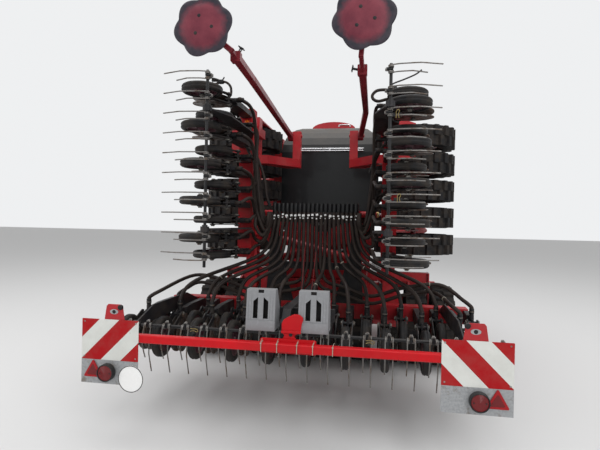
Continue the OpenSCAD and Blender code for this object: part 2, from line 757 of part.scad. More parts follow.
module lid_arch(y, length, half, rise, base) {
    translate([0, y, 0]) rotate([-90, 0, 0]) mirror([0, 1, 0])
        linear_extrude(height = length)
        polygon([for (a = [-90 : 15 : 90]) [half * sin(a), base + rise * cos(a)]]);
}

// Fan: a round housing with a guarded inlet on each side and an outlet to the
// air pipe, on a pedestal.
module fan() color("dimgray") seat() {
    cyl_x(-110, 110, fan_y, fan_z, 520);
    cyl_y_bar(pipe_end, fan_y - 60, 0, pipe_z, pipe_d);
    cyl_y_bar(pipe_end, pipe_end + 20, 0, pipe_z, pipe_d + 40);
    for (side = [-1, 1]) {
        // Inlet ring with its guard: rings on bars that meet in a hub
        translate([side * 108, fan_y, fan_z]) rotate([0, 90, 0]) rotate_extrude()
            polygon([[110, 0], [131, 0], [150, side * 36], [138, side * 36]]);
        for (r = [56, 90]) {
            translate([side * 130, fan_y, fan_z]) rotate([0, 90, 0])
                rotate_extrude() polygon([[r - 4, -4], [r + 4, -4], [r + 4, 4], [r - 4, 4]]);
        }
        for (turn = [0 : 60 : 300]) {
            translate([side * 130 - 6, fan_y, fan_z]) rotate([turn, 0, 0]) translate([0, 14, -4]) cube([12, 121, 8]);
        }
        cyl_x(side * 130 - 9, side * 130 + 9, fan_y, fan_z, 50);
    }
    plate_yz(0, 160, [[fan_y - 150, draw_top(fan_y - 150) + seat_gap],
        [fan_y + 150, draw_top(fan_y + 150) + seat_gap],
        [fan_y + 110, fan_z - 180], [fan_y - 110, fan_z - 180]]);
}

// Air and seed come up a tower behind the hopper to a round head with an outlet
// for each hose. The hoses leave over a rack that stands on the seed bar.
module distributor() color("gray") seat() {
    tower_y = 2450;
    head_z = 1600;
    outlet_d = hose_d - 4;
    translate([0, tower_y, 1120]) cylinder(h = head_z - 1110, d = 130);
    for (z = [1200 : 60 : 1500]) translate([0, tower_y, z]) cylinder(h = 22, d = 146);
    translate([0, tower_y, head_z - 60]) cylinder(h = 60, r1 = 65, r2 = 200);
    translate([0, tower_y, head_z]) cylinder(h = 110, r = 215);
    translate([0, tower_y, head_z + 110]) cylinder(h = 40, r1 = 215, r2 = 90);
    for (i = [0 : centre_rows - 1]) {
        rotate_about([0, tower_y, 0], 360 / centre_rows * (i + 0.5))
            cyl_y_bar(tower_y - 265, tower_y - 150, 0, head_z + 55, outlet_d);
    }
    // Air pipe from the fan, under the hopper
    cyl_y_bar(tower_y, pipe_end - seat_gap, 0, pipe_z, pipe_d);
    plate_yz(0, 60, [[hinge_rear_y - 30, portal_z + 60 + seat_gap], [hinge_rear_y + 50, portal_z + 60 + seat_gap],
        [tower_y - 40, head_z - 20], [tower_y, head_z + 80], [tower_y - 60, head_z + 80],
        [hinge_rear_y - 30, head_z - 20]]);
    for (side = [-1, 1]) {
        plate_xz(rack_y + upright_t / 2, upright_t, [[side * 200, seed_bar_top + seat_gap],
            [side * 480, seed_bar_top + seat_gap],
            [side * (rack_half + 22), 1810], [side * (rack_half - 8), 1810], [side * 340, 1300]]);
    }
    plate_xz(rack_y + upright_t / 2, upright_t, [[-400, 1150], [400, 1150], [400, 1220], [-400, 1220]]);
    for (z = [1630, 1760]) beam_x(-rack_half - 10, rack_half + 10, rack_y - 6, z, 12, 40);
}

// Seed hoses: from the rack down to the seed tube of each row. Those of the two
// outer rows leave the rack nearest the middle, sag outward and rise over the wheels.
module hoses() color("black") seat() {
    half = centre_rows / 2;
    rack_step = rack_half / (half - 0.5);
    hang_y = rack_y - 12 - hose_d / 2 - seat_gap;
    for (side = [-1, 1], j = [0 : half - 1]) {
        x = side * row_pitch * (j + 0.5);
        rank = (side > 0 ? half + j : half - 1 - j) % 2;
        end = [x, disc_y[rank] - seed_tube_back, seed_tube_top + seat_gap];
        outer = j - (half - 2);
        rack_x = side * rack_step * (outer < 0 ? j + 2.5 : outer + 0.5);
        lift = 68 * outer;
        top = [[rack_x, hang_y, 1790], [rack_x, hang_y - 5, 1590]];
        route = outer < 0
            ? [[rack_x + (x - rack_x) * 0.16, hang_y - 45, 1180 + 16 * j],
                [rack_x + (x - rack_x) * 0.85, end[1] + 90, 1060]]
            : [[rack_x, hang_y - 9, 1300], [rack_x + side * 12, hang_y - 14, 1110 + 40 * outer],
                [side * (90 + 50 * outer), hang_y - 40, 985 + 55 * outer], [side * 300, hang_y - 60, 930 + lift],
                [side * 560, hang_y - 80, 860 + lift], [side * 840, hang_y - 100, 950 + lift],
                [side * (1110 + 60 * outer), 1400, 995 + lift], [x - side * 60, end[1] + 60, 945]];
        tube(concat(smooth(concat(top, route, [end + [0, 0, 60]]), 3), [end]), hose_d, 8);
    }
}

module tillage_centre() color("firebrick") seat() tillage(-section_half, 2 * till_wing_count, till_stagger);
module tillage_left() color("firebrick") seat() folded(-1) tillage(section_half, till_wing_count, -till_stagger);
module tillage_right() color("firebrick") seat() folded(1) tillage(section_half, till_wing_count, till_stagger);

module tyres_centre_left() color("black") seat() packer_row(-section_half) packer_tyre();
module tyres_centre_right() color("black") seat() packer_row(0) packer_tyre();
module tyres_wing_left() color("black") seat() folded(-1) packer_row(section_half) packer_tyre();
module tyres_wing_right() color("black") seat() folded(1) packer_row(section_half) packer_tyre();
module rims_centre_left() color("firebrick") seat() packer_row(-section_half) packer_rim();
module rims_centre_right() color("firebrick") seat() packer_row(0) packer_rim();
module rims_wing_left() color("firebrick") seat() folded(-1) packer_row(section_half) packer_rim();
module rims_wing_right() color("firebrick") seat() folded(1) packer_row(section_half) packer_rim();

module seed_bar_centre() color("firebrick") seat() {
    beam_x(-section_half + 50, section_half - 50, seed_bar_y, seed_bar_z, seed_bar_s, seed_bar_s);
    coulter_arms(-section_half, centre_rows, 0);
    harrow_arms(-section_half, centre_rows);
}

module seed_bar_wing(first_rank) {
    beam_x(wing_start, wing_end, seed_bar_y, seed_bar_z, seed_bar_s, seed_bar_s);
    coulter_arms(section_half, wing_rows, first_rank);
    harrow_arms(section_half, wing_rows);
}

module seed_bar_left() color("firebrick") seat() folded(-1) seed_bar_wing(1);
module seed_bar_right() color("firebrick") seat() folded(1) seed_bar_wing(0);

module seed_discs_centre() color("silver") seat() seed_disc_pairs(-section_half, centre_rows, 0);
module seed_discs_left() color("silver") seat() folded(-1) seed_disc_pairs(section_half, wing_rows, 1);
module seed_discs_right() color("silver") seat() folded(1) seed_disc_pairs(section_half, wing_rows, 0);

module press_rear_centre() color("black") seat() press_wheels(-section_half, centre_rows, 0, 0);
module press_front_centre() color("black") seat() press_wheels(-section_half, centre_rows, 0, 1);
module press_rear_left() color("black") seat() folded(-1) press_wheels(section_half, wing_rows, 1, 0);
module press_front_left() color("black") seat() folded(-1) press_wheels(section_half, wing_rows, 1, 1);
module press_rear_right() color("black") seat() folded(1) press_wheels(section_half, wing_rows, 0, 0);
module press_front_right() color("black") seat() folded(1) press_wheels(section_half, wing_rows, 0, 1);

module harrow_centre() color("gray") seat() harrow(-section_half, centre_rows);
module harrow_left() color("gray") seat() folded(-1) harrow(section_half, wing_rows);
module harrow_right() color("gray") seat() folded(1) harrow(section_half, wing_rows);

// Wing frame at work: two beams across, plates and ties along, and hinge lugs.
module wing_frame(side) {
    beam_start = hinge_x + 300;
    for (y = [hinge_rear_y, hinge_front_y]) {
        beam_x(beam_start, wing_end, y, wing_beam_z, wing_beam, wing_beam);
        difference() {
            plate_xz(y, lug_t, [[hinge_x - 50, hinge_z - 30], [hinge_x + 20, hinge_z - 60],
                [beam_start + 100, wing_beam_z - 55], [beam_start + 100, wing_beam_z + 55],
                [hinge_x + 200, wing_beam_z + 55], [hinge_x - 50, hinge_z + 40]]);
            cyl_y_bar(y - 100, y + 100, hinge_x, hinge_z, hinge_pin_d + 2 * run_gap);
        }
    }
    for (x = [section_half + tyre_pitch, wing_end - 7]) {
        plate_yz(x, 14, [[packer_y - 60, axle_z - 60], [packer_y + 60, axle_z - 60],
            [hinge_front_y - 40, wing_beam_z - 60], [hinge_front_y + 60, wing_beam_z + 55],
            [hinge_rear_y - 60, wing_beam_z + 55], [hinge_rear_y + 40, wing_beam_z - 60]]);
    }
    cyl_x(section_half + 35, wing_end, packer_y, axle_z, packer_axle_d);
    // Ties back to the seed bar, and forward to the discs' bar between its legs
    for (x = [section_half + 190, wing_end - 190]) {
        beam_y(seed_bar_y + seed_bar_s / 2 + seat_gap, hinge_rear_y, x, wing_beam_z + 60, 90, 100);
    }
    tie_x = section_half + till_pitch * (side > 0 ? 0.8 : 1.2);
    for (x = [tie_x, tie_x + 4 * till_pitch]) {
        beam_y(hinge_front_y, till_bar_y - till_bar_s / 2 - seat_gap, x, wing_beam_z, 90, 90);
    }
    // Gusset box at the outer end
    plate_xz(hinge_rear_y - wing_beam / 2 - 10, 20, [[wing_end - 475, wing_beam_z - 55],
        [wing_end - 435, wing_beam_z - 240], [wing_end - 95, wing_beam_z - 240],
        [wing_end - 35, wing_beam_z - 55]]);
    // Lug that faces the cylinder's eye
    face = side > 0 ? -1 : 1;
    plate_xz(hinge_rear_y + face * (wing_beam / 2 + 15), 30, [[cyl_eye_x - 60, wing_beam_z],
        [cyl_eye_x + 120, wing_beam_z], [cyl_eye_x + 60, cyl_eye_z + 20], [cyl_eye_x, cyl_eye_z + 60],
        [cyl_eye_x - 55, cyl_eye_z + 20]]);
    // Mast and arm of the track marker, with its pin
    plate_yz(mast_x, 90, [[hinge_rear_y - 60, wing_beam_z + 50], [hinge_rear_y + 60, wing_beam_z + 50],
        [marker_y + 40, mast_arm_z - 120], [marker_y + 40, mast_arm_z + 45],
        [marker_y - 40, mast_arm_z + 45], [hinge_rear_y - 60, wing_beam_z + 160]]);
    beam_x(mast_x, marker_work_x + 50, marker_y, mast_arm_z, 80, 90);
    translate([marker_work_x, marker_y, fold_sum - marker_x - marker_hub_t / 2 - 10])
        cylinder(h = marker_hub_t + 110, d = marker_pin_d);
}

module wing_frame_left() color("firebrick") seat() folded(-1) wing_frame(-1);
module wing_frame_right() color("firebrick") seat() folded(1) wing_frame(1);

module fold_barrel(y) {
    translate([-cyl_pin_x, y, cyl_pin_z]) rotate([0, -cyl_angle, 0]) {
        difference() {
            union() {
                rotate([90, 0, 0]) cylinder(h = cyl_eye_t, d = cyl_eye_d, center = true);
                translate([30, 0, 0]) rotate([0, 90, 0]) cylinder(h = cyl_barrel_l - 30, d = cyl_d);
            }
            rotate([90, 0, 0]) cylinder(h = 2 * cyl_eye_t, d = 40 + 2 * run_gap, center = true);
            translate([70, 0, 0]) rotate([0, 90, 0]) cylinder(h = cyl_barrel_l, d = cyl_rod_d + 2 * run_gap);
        }
    }
}

module fold_rod(y) {
    translate([-cyl_pin_x, y, cyl_pin_z]) rotate([0, -cyl_angle, 0]) {
        translate([80, 0, 0]) rotate([0, 90, 0]) cylinder(h = cyl_len - 80, d = cyl_rod_d);
        translate([cyl_len, 0, 0]) rotate([90, 0, 0]) cylinder(h = cyl_eye_t, d = cyl_eye_d, center = true);
    }
}

module fold_barrel_right() color("dimgray") seat() fold_barrel(cyl_y[1]);
module fold_barrel_left() color("dimgray") seat() mirror([1, 0, 0]) fold_barrel(cyl_y[0]);
module fold_rod_right() color("silver") seat() fold_rod(cyl_y[1]);
module fold_rod_left() color("silver") seat() mirror([1, 0, 0]) fold_rod(cyl_y[0]);

// Marker arm, drawn on the right: it runs back from its pivot over a bend to
// the disc, where a slimmer tube slides in a clamped collar.
module marker_arm(m) {
    pivot = [marker_x, marker_y, marker_z];
    bend = [m[bend_x], m[bend_y], m[bend_z]];
    tip = [m[tip_x], marker_tip_y, m[tip_z]];
    hub = [m[tip_x] + m[off_x], marker_tip_y, m[tip_z] + m[off_z]];
    collar = tip + (bend - tip) * 0.18;
    difference() {
        union() {
            cyl_x(marker_x - marker_hub_t / 2, marker_x + marker_hub_t / 2, marker_y, marker_z, 110);
            square_between(pivot, bend, marker_arm_s);
            square_between(bend, collar, marker_arm_s);
            square_between(collar, collar + (bend - tip) * 0.05, marker_arm_s + 14);
        }
        cyl_x(marker_x - 100, marker_x + 100, marker_y, marker_z, marker_pin_d + 2 * run_gap);
        cyl_x(marker_x - 100, marker_x - marker_hub_t / 2, marker_y, marker_z, 160);
        cyl_x(marker_x + marker_hub_t / 2, marker_x + 100, marker_y, marker_z, 160);
    }
    square_between(collar, tip, marker_arm_s - 22);
    square_between(tip, hub, 46);
    cyl_y_bar(-rear_reach, marker_tip_y, hub[0], hub[2], marker_axle_d);
}

// Marker disc with a wavy rim, a domed middle, a bolt circle and a hub.
module marker_disc(m) {
    r = marker_disc_d / 2;
    translate([m[tip_x] + m[off_x], marker_tip_y - marker_disc_gap, m[tip_z] + m[off_z]])
        rotate([-90, 0, 0])
        difference() {
            union() {
                linear_extrude(height = 6)
                    polygon([for (a = [0 : 45 / marker_lobes : 359.9])
                        r * (0.93 + 0.07 * cos(marker_lobes * a)) * [cos(a), sin(a)]]);
                translate([0, 0, -marker_dome]) cylinder(h = marker_dome + 1, r1 = r * 0.55, r2 = r * 0.72);
                cylinder(h = 30, d = 80);
            }
            translate([0, 0, -20]) cylinder(h = 60, d = marker_axle_d + 2 * run_gap);
            for (i = [0 : 3]) {
                rotate([0, 0, 90 * i]) translate([60, 0, -20]) cylinder(h = 60, d = 14);
            }
        }
}

module marker_arm_left() color("firebrick") seat() mirror([1, 0, 0]) marker_arm(marker_left);
module marker_arm_right() color("firebrick") seat() marker_arm(marker_right);
module marker_disc_left() color("dimgray") seat() mirror([1, 0, 0]) marker_disc(marker_left);
module marker_disc_right() color("dimgray") seat() marker_disc(marker_right);

// Light bar on a tapered bracket and an arm that rests on the seed bar.
module light_bar() color("red") seat() {
    bar_y = 2 + seat_gap + light_bar_s / 2;
    arm_z = 975;
    beam_x(-panel_edge + 60, panel_edge - 60, bar_y, light_bar_z, light_bar_s, light_bar_s);
    plate_xz(bar_y + light_bar_s / 2 + 6, 12, [[-215, light_bar_z - 40], [215, light_bar_z - 40],
        [215, light_bar_z + 40], [90, light_bar_z + 130], [60, arm_z + 40], [-60, arm_z + 40],
        [-90, light_bar_z + 130], [-215, light_bar_z + 40]]);
    plate_yz(0, 70, [[bar_y + light_bar_s / 2, light_bar_z - 20], [bar_y + 70, light_bar_z - 20],
        [bar_y + 160, arm_z - 35], [seed_bar_y - 50, arm_z - 35], [seed_bar_y - 50, seed_bar_top + seat_gap],
        [seed_bar_y + 50, seed_bar_top + seat_gap], [seed_bar_y + 50, arm_z + 35],
        [bar_y + light_bar_s / 2, arm_z + 35]]);
    // Carrier of the wheel chocks
    beam_x(-300, 320, chock_front + seat_gap + 10, 960, 20, 90);
    // Brackets that stand up behind the warning panels
    for (side = [-1, 1]) {
        middle = side * (panel_edge - panel_w / 2);
        difference() {
            plate_xz(5 + seat_gap, 6, [[middle - 95, light_bar_z - 60], [middle + 95, light_bar_z - 60],
                [middle + 95, panel_top], [middle + 48, panel_top + 68], [middle - 48, panel_top + 68],
                [middle - 95, panel_top]]);
            cyl_y_bar(-20, 30, middle, panel_top + 40, 16);
            translate([middle - 120, 8, light_bar_z - light_bar_s / 2]) cube([240, 10, light_bar_s]);
        }
    }
}

module warning_panels() color("white") seat() {
    for (side = [-1, 1]) {
        translate([side > 0 ? panel_edge - panel_w : -panel_edge, -4, panel_top - panel_h])
            cube([panel_w, 6, panel_h]);
    }
}

module lamp_plates() color("gray") seat() {
    for (side = [-1, 1]) {
        translate([side > 0 ? panel_edge - panel_w : -panel_edge, -4, panel_top - panel_h - lamp_plate_h])
            cube([panel_w, 4, lamp_plate_h - seat_gap]);
    }
}

module lamps() color("red") seat() {
    for (side = [-1, 1]) {
        cyl_y_bar(-40, -4, side * (panel_edge - lamp_in), panel_top - panel_h - lamp_drop, lamp_d);
    }
}

module speed_disc() color("white") seat() {
    cyl_y_bar(-7 - seat_gap, -4 - seat_gap, -panel_edge + panel_w - 50, panel_top - panel_h - 118, sign_d);
}

module wheel_chocks() color("lightgray") seat() {
    for (x = [-170, 190]) {
        difference() {
            translate([x - 100, 0, 0]) rotate([90, 0, 90]) linear_extrude(height = 200)
                polygon([[chock_front, 866], [90, 866], [82, 900], [106, 1146], [170, 1146], [chock_front, 1010]]);
            for (slot = [-30, 30]) {
                translate([x + slot - 13, 60, 916]) cube([26, 80, 150]);
            }
        }
    }
}

main_frame();
drawbar();
hitch_cross();
parking_stand();
packer_frame();
hopper();
hopper_lid();
fan();
distributor();
hoses();
tillage_centre();
tillage_left();
tillage_right();
tyres_centre_left();
tyres_centre_right();
tyres_wing_left();
tyres_wing_right();
rims_centre_left();
rims_centre_right();
rims_wing_left();
rims_wing_right();
seed_bar_centre();
seed_bar_left();
seed_bar_right();
seed_discs_centre();
seed_discs_left();
seed_discs_right();
press_rear_centre();
press_front_centre();
press_rear_left();
press_front_left();
press_rear_right();
press_front_right();
harrow_centre();
harrow_left();
harrow_right();
wing_frame_left();
wing_frame_right();
fold_barrel_left();
fold_barrel_right();
fold_rod_left();
fold_rod_right();
marker_arm_left();
marker_arm_right();
marker_disc_left();
marker_disc_right();
light_bar();
warning_panels();
lamp_plates();
lamps();
speed_disc();
wheel_chocks();
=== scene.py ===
import json
import math
import random

import bpy
from mathutils import Matrix, Vector


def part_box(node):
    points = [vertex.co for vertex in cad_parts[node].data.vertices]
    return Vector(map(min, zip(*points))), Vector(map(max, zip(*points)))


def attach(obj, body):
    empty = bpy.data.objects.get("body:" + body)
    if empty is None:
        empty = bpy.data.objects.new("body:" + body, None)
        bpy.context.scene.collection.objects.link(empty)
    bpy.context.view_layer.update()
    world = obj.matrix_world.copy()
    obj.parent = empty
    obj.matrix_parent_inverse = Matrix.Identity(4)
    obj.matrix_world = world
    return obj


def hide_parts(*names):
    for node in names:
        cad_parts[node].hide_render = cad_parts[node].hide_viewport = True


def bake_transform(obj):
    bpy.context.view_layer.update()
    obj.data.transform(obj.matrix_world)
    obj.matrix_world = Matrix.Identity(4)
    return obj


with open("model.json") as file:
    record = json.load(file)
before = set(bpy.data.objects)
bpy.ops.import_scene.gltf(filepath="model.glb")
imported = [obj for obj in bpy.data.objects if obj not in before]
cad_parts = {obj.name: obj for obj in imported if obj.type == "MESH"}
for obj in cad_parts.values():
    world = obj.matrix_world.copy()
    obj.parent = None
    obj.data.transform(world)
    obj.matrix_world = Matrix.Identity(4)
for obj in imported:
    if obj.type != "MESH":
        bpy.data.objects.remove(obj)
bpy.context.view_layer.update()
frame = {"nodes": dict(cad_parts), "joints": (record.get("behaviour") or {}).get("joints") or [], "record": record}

# Places taken from the frame, in metres
JOINTS = {j["name"]: j for j in frame["joints"]}
FOLD = JOINTS["wing_right_fold"]["pos_m"]
FOLD_SUM = FOLD[0] + FOLD[2]
FOLD_DROP = FOLD[0] - FOLD[2]
BODY_OF_NODE = {n: b for b, ns in frame["record"]["behaviour"]["bodies"].items() for n in ns}
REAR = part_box("warning_panels")[0].y + 0.004
ROW_PITCH = 0.150
SECTION_HALF = 1.5
PRESS_Z = JOINTS["press_centre_rear_turn"]["pos_m"][2]
PRESS_YS = (JOINTS["press_centre_rear_turn"]["pos_m"][1], JOINTS["press_centre_front_turn"]["pos_m"][1])
COULTER_YS = (0.985, 1.285)
COULTER_TOP = 0.8373
HARROW_Y = 0.335
HARROW_Z = 0.800
RACK_HALF = 0.4
RACK_FACE = 1.5102
RACK_HOSES = 20
HOSE_RADIUS = 0.0170
BAR_Y = (0.0023, 0.0573)
BAR_Z = (0.7535, 0.8085)
PANEL_X = (1.001, 1.424)
PANEL_Z = (0.624, 0.906)
STRIPE_PITCH = 0.293


# Camera: the place, turn and angle of view from which the machine was seen
CAMERA_X = 0.5833
CAMERA_BEHIND = 2.9187
CAMERA_Z = 1.5998
CAMERA_YAW = math.radians(9.332)
CAMERA_PITCH = math.radians(-0.241)
CAMERA_ROLL = math.radians(1.168)
FOCAL_PIXELS = 458.2
IMAGE_WIDTH = 600
SENSOR = 36.0


def make_camera():
    forward = Vector((-math.sin(CAMERA_YAW) * math.cos(CAMERA_PITCH),
                      math.cos(CAMERA_YAW) * math.cos(CAMERA_PITCH), math.sin(CAMERA_PITCH)))
    level = Vector((math.cos(CAMERA_YAW), math.sin(CAMERA_YAW), 0))
    raised = level.cross(forward)
    right = level * math.cos(CAMERA_ROLL) + raised * math.sin(CAMERA_ROLL)
    up = raised * math.cos(CAMERA_ROLL) - level * math.sin(CAMERA_ROLL)
    data = bpy.data.cameras.new("camera")
    data.sensor_width = SENSOR
    data.lens = FOCAL_PIXELS / IMAGE_WIDTH * SENSOR
    data.clip_end = 200
    camera = bpy.data.objects.new("camera", data)
    turn = Matrix((right, up, -forward)).transposed().to_4x4()
    camera.matrix_world = Matrix.Translation((CAMERA_X, REAR - CAMERA_BEHIND, CAMERA_Z)) @ turn
    bpy.context.scene.collection.objects.link(camera)
    bpy.context.scene.camera = camera


# Materials
class Paint:
    """Nodes of one material, round its Principled shader."""

    def __init__(self, name, rough, metal=0.0, coat=0.0, gloss=0.5):
        self.material = bpy.data.materials.new(name)
        self.material.use_nodes = True
        self.nodes = self.material.node_tree.nodes
        self.links = self.material.node_tree.links
        self.shader = self.nodes["Principled BSDF"]
        self.shader.inputs["Roughness"].default_value = rough
        self.shader.inputs["Metallic"].default_value = metal
        self.shader.inputs["Coat Weight"].default_value = coat
        self.shader.inputs["Specular IOR Level"].default_value = gloss
        self.place = self.nodes.new("ShaderNodeTexCoord").outputs["Object"]

    def noise(self, scale, detail=4.0, rough=0.6, stretch=None):
        node = self.nodes.new("ShaderNodeTexNoise")
        node.inputs["Scale"].default_value = scale
        node.inputs["Detail"].default_value = detail
        node.inputs["Roughness"].default_value = rough
        source = self.place
        if stretch:
            mapping = self.nodes.new("ShaderNodeMapping")
            mapping.inputs["Scale"].default_value = stretch
            self.links.new(source, mapping.inputs["Vector"])
            source = mapping.outputs["Vector"]
        self.links.new(source, node.inputs["Vector"])
        return node.outputs["Fac"]

    def steps(self, value, low, high, from_value=0.0, to_value=1.0):
        node = self.nodes.new("ShaderNodeMapRange")
        node.inputs["From Min"].default_value = low
        node.inputs["From Max"].default_value = high
        node.inputs["To Min"].default_value = from_value
        node.inputs["To Max"].default_value = to_value
        self.links.new(value, node.inputs["Value"])
        return node.outputs["Result"]

    def math(self, operation, a, b):
        node = self.nodes.new("ShaderNodeMath")
        node.operation = operation
        for socket, value in zip(node.inputs, (a, b)):
            if isinstance(value, (int, float)):
                socket.default_value = value
            else:
                self.links.new(value, socket)
        return node.outputs["Value"]

    def mix(self, share, a, b):
        node = self.nodes.new("ShaderNodeMix")
        node.data_type = "RGBA"
        self.links.new(share, node.inputs["Factor"])
        for socket, value in ((node.inputs[6], a), (node.inputs[7], b)):
            if isinstance(value, tuple):
                socket.default_value = (*value, 1)
            else:
                self.links.new(value, socket)
        return node.outputs[2]

    def axis(self, name):
        node = self.nodes.new("ShaderNodeSeparateXYZ")
        self.links.new(self.place, node.inputs["Vector"])
        return node.outputs[name]

    def colour(self, value):
        if isinstance(value, tuple):
            self.shader.inputs["Base Color"].default_value = (*value, 1)
        else:
            self.links.new(value, self.shader.inputs["Base Color"])

    def roughness(self, value):
        self.links.new(value, self.shader.inputs["Roughness"])

    def bump(self, value, depth):
        node = self.nodes.new("ShaderNodeBump")
        node.inputs["Distance"].default_value = depth
        self.links.new(value, node.inputs["Height"])
        self.links.new(node.outputs["Normal"], self.shader.inputs["Normal"])


MUD = (0.105, 0.082, 0.062)
# DUST also colours the painted sheen on upward faces in plastic().
DUST = (0.20, 0.17, 0.145)
RUST = (0.13, 0.048, 0.022)


def painted(name, base, dark, rough=0.42, mud=0.35, chips=0.5, coat=0.15, gloss=0.3):
    """Paint with cloudy wear, chips down to rust, and mud that thickens towards the ground."""
    p = Paint(name, rough, coat=coat, gloss=gloss)
    cloud = p.steps(p.noise(2.2, 5), 0.3, 0.7)
    colour = p.mix(cloud, dark, base)
    grain = p.steps(p.noise(38, 4), 0.35, 0.75, 0, 0.45)
    colour = p.mix(grain, colour, dark)
    chip = p.steps(p.noise(55, 3, 0.75), 0.735 - 0.05 * chips, 0.76 - 0.05 * chips)
    colour = p.mix(chip, colour, RUST)
    height = p.steps(p.axis("Z"), 0.2, 1.3, 1, 0)
    dirty = p.math("MULTIPLY", p.steps(p.noise(9, 6, 0.7), 0.45, 0.72), p.math("MAXIMUM", height, 0.25))
    colour = p.mix(p.math("MULTIPLY", dirty, mud * 2), colour, MUD)
    p.colour(colour)
    p.roughness(p.steps(dirty, 0, 0.6, rough, 0.85))
    p.bump(p.noise(160, 3), 0.0006)
    return p.material


def row_paint(name):
    """Red paint on the seed bar, and dark castings on all that hangs behind it."""
    p = Paint(name, 0.45, gloss=0.2)
    cloud = p.steps(p.noise(2.6, 5), 0.3, 0.7)
    red = p.mix(cloud, RED_DARK, RED)
    grey = p.mix(p.steps(p.noise(6, 6), 0.3, 0.7), (0.010, 0.010, 0.012), (0.030, 0.028, 0.030))
    behind = p.math("LESS_THAN", p.axis("Y"), REAR + 1.526)
    colour = p.mix(behind, red, grey)
    chip = p.steps(p.noise(48, 3, 0.75), 0.70, 0.73)
    colour = p.mix(chip, colour, RUST)
    dirty = p.steps(p.noise(9, 6, 0.7), 0.48, 0.74, 0, 0.5)
    p.colour(p.mix(dirty, colour, MUD))
    p.roughness(p.steps(dirty, 0, 0.5, 0.45, 0.85))
    p.bump(p.noise(150, 3), 0.0006)
    return p.material


def rubber(name, base, dust=0.35, rough=0.62):
    p = Paint(name, rough, gloss=0.16)
    dirty = p.steps(p.noise(11, 6, 0.7), 0.42, 0.75, 0, dust)
    fine = p.steps(p.noise(90, 3), 0.3, 0.8, 0, 0.35)
    colour = p.mix(fine, base, tuple(2.2 * c for c in base))
    p.colour(p.mix(dirty, colour, MUD))
    p.roughness(p.steps(dirty, 0, 0.3, rough, 0.9))
    p.bump(p.noise(220, 4), 0.0008)
    return p.material


def steel(name, base, rust, share, rough=0.36, metal=0.9, scratch=(1, 1, 1)):
    """Bare metal, with rust over a share of it."""
    p = Paint(name, rough, metal)
    spots = p.steps(p.noise(14, 7, 0.7), 0.62 - 0.3 * share, 0.74 - 0.3 * share)
    brushed = p.steps(p.noise(70, 3, 0.6, scratch), 0.3, 0.7, 0, 0.6)
    colour = p.mix(brushed, base, tuple(0.55 * c for c in base))
    p.colour(p.mix(spots, colour, rust))
    p.roughness(p.steps(spots, 0, 1, rough, 0.85))
    p.links.new(p.steps(spots, 0, 1, metal, 0.1), p.shader.inputs["Metallic"])
    p.bump(p.noise(260, 3), 0.0004)
    return p.material


def plastic(name, base, rough=0.3, dust=0.3, coat=0.3, gloss=0.4):
    """Moulded plastic, lighter on what faces up: in part dust, in part a painted sheen of the sky."""
    p = Paint(name, rough, coat=coat, gloss=gloss)
    geometry = p.nodes.new("ShaderNodeNewGeometry")
    parts = p.nodes.new("ShaderNodeSeparateXYZ")
    p.links.new(geometry.outputs["Normal"], parts.inputs["Vector"])
    # Upward faces are mixed towards DUST: in part real dust, in part a painted sheen of the sky on the top; dust sets
    # the strength of both.
    up = p.steps(parts.outputs["Z"], 0.0, 0.9)
    cloud = p.steps(p.noise(7, 6, 0.7), 0.3, 0.8, 0.3, 1)
    upward_dust_and_sheen = p.math("MULTIPLY", p.math("MULTIPLY", up, cloud), dust)
    speck = p.steps(p.noise(45, 4, 0.7), 0.5, 0.8, 0, 0.25)
    colour = p.mix(speck, base, tuple(min(1, 1.8 * c + 0.01) for c in base))
    p.colour(p.mix(upward_dust_and_sheen, colour, DUST))
    p.roughness(p.steps(upward_dust_and_sheen, 0, 0.4, rough, 0.75))
    p.bump(p.noise(120, 2), 0.0004)
    return p.material


def striped(name, centre_x, red, white):
    """Red and white slanting stripes; the red band through the middle falls away from the machine's middle."""
    p = Paint(name, 0.4, gloss=0.1)
    low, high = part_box("warning_panels")
    side = 1 if centre_x > 0 else -1
    across = p.math("MULTIPLY", p.axis("X"), float(side))
    along = p.math("ADD", across, p.axis("Z"))
    start = abs(centre_x) + (low.z + high.z) / 2
    band = STRIPE_PITCH
    share = p.math("FRACT", p.math("DIVIDE", p.math("ADD", along, 10 * band + band / 4 - start), band), 0)
    stripe = p.math("GREATER_THAN", share, 0.5)
    grime = p.steps(p.noise(8, 6, 0.7), 0.4, 0.8, 0, 0.2)
    colour = p.mix(stripe, red, white)
    colour = p.mix(grime, colour, DUST)
    spots = p.steps(p.noise(42, 2, 0.5), 0.74, 0.76)
    p.colour(p.mix(spots, colour, RUST))
    p.bump(p.noise(300, 2), 0.0002)
    return p.material


RED = (0.46, 0.012, 0.018)
RED_DARK = (0.27, 0.008, 0.014)
BRIGHT_RED = (0.56, 0.008, 0.013)
BRIGHT_DARK = (0.40, 0.007, 0.011)


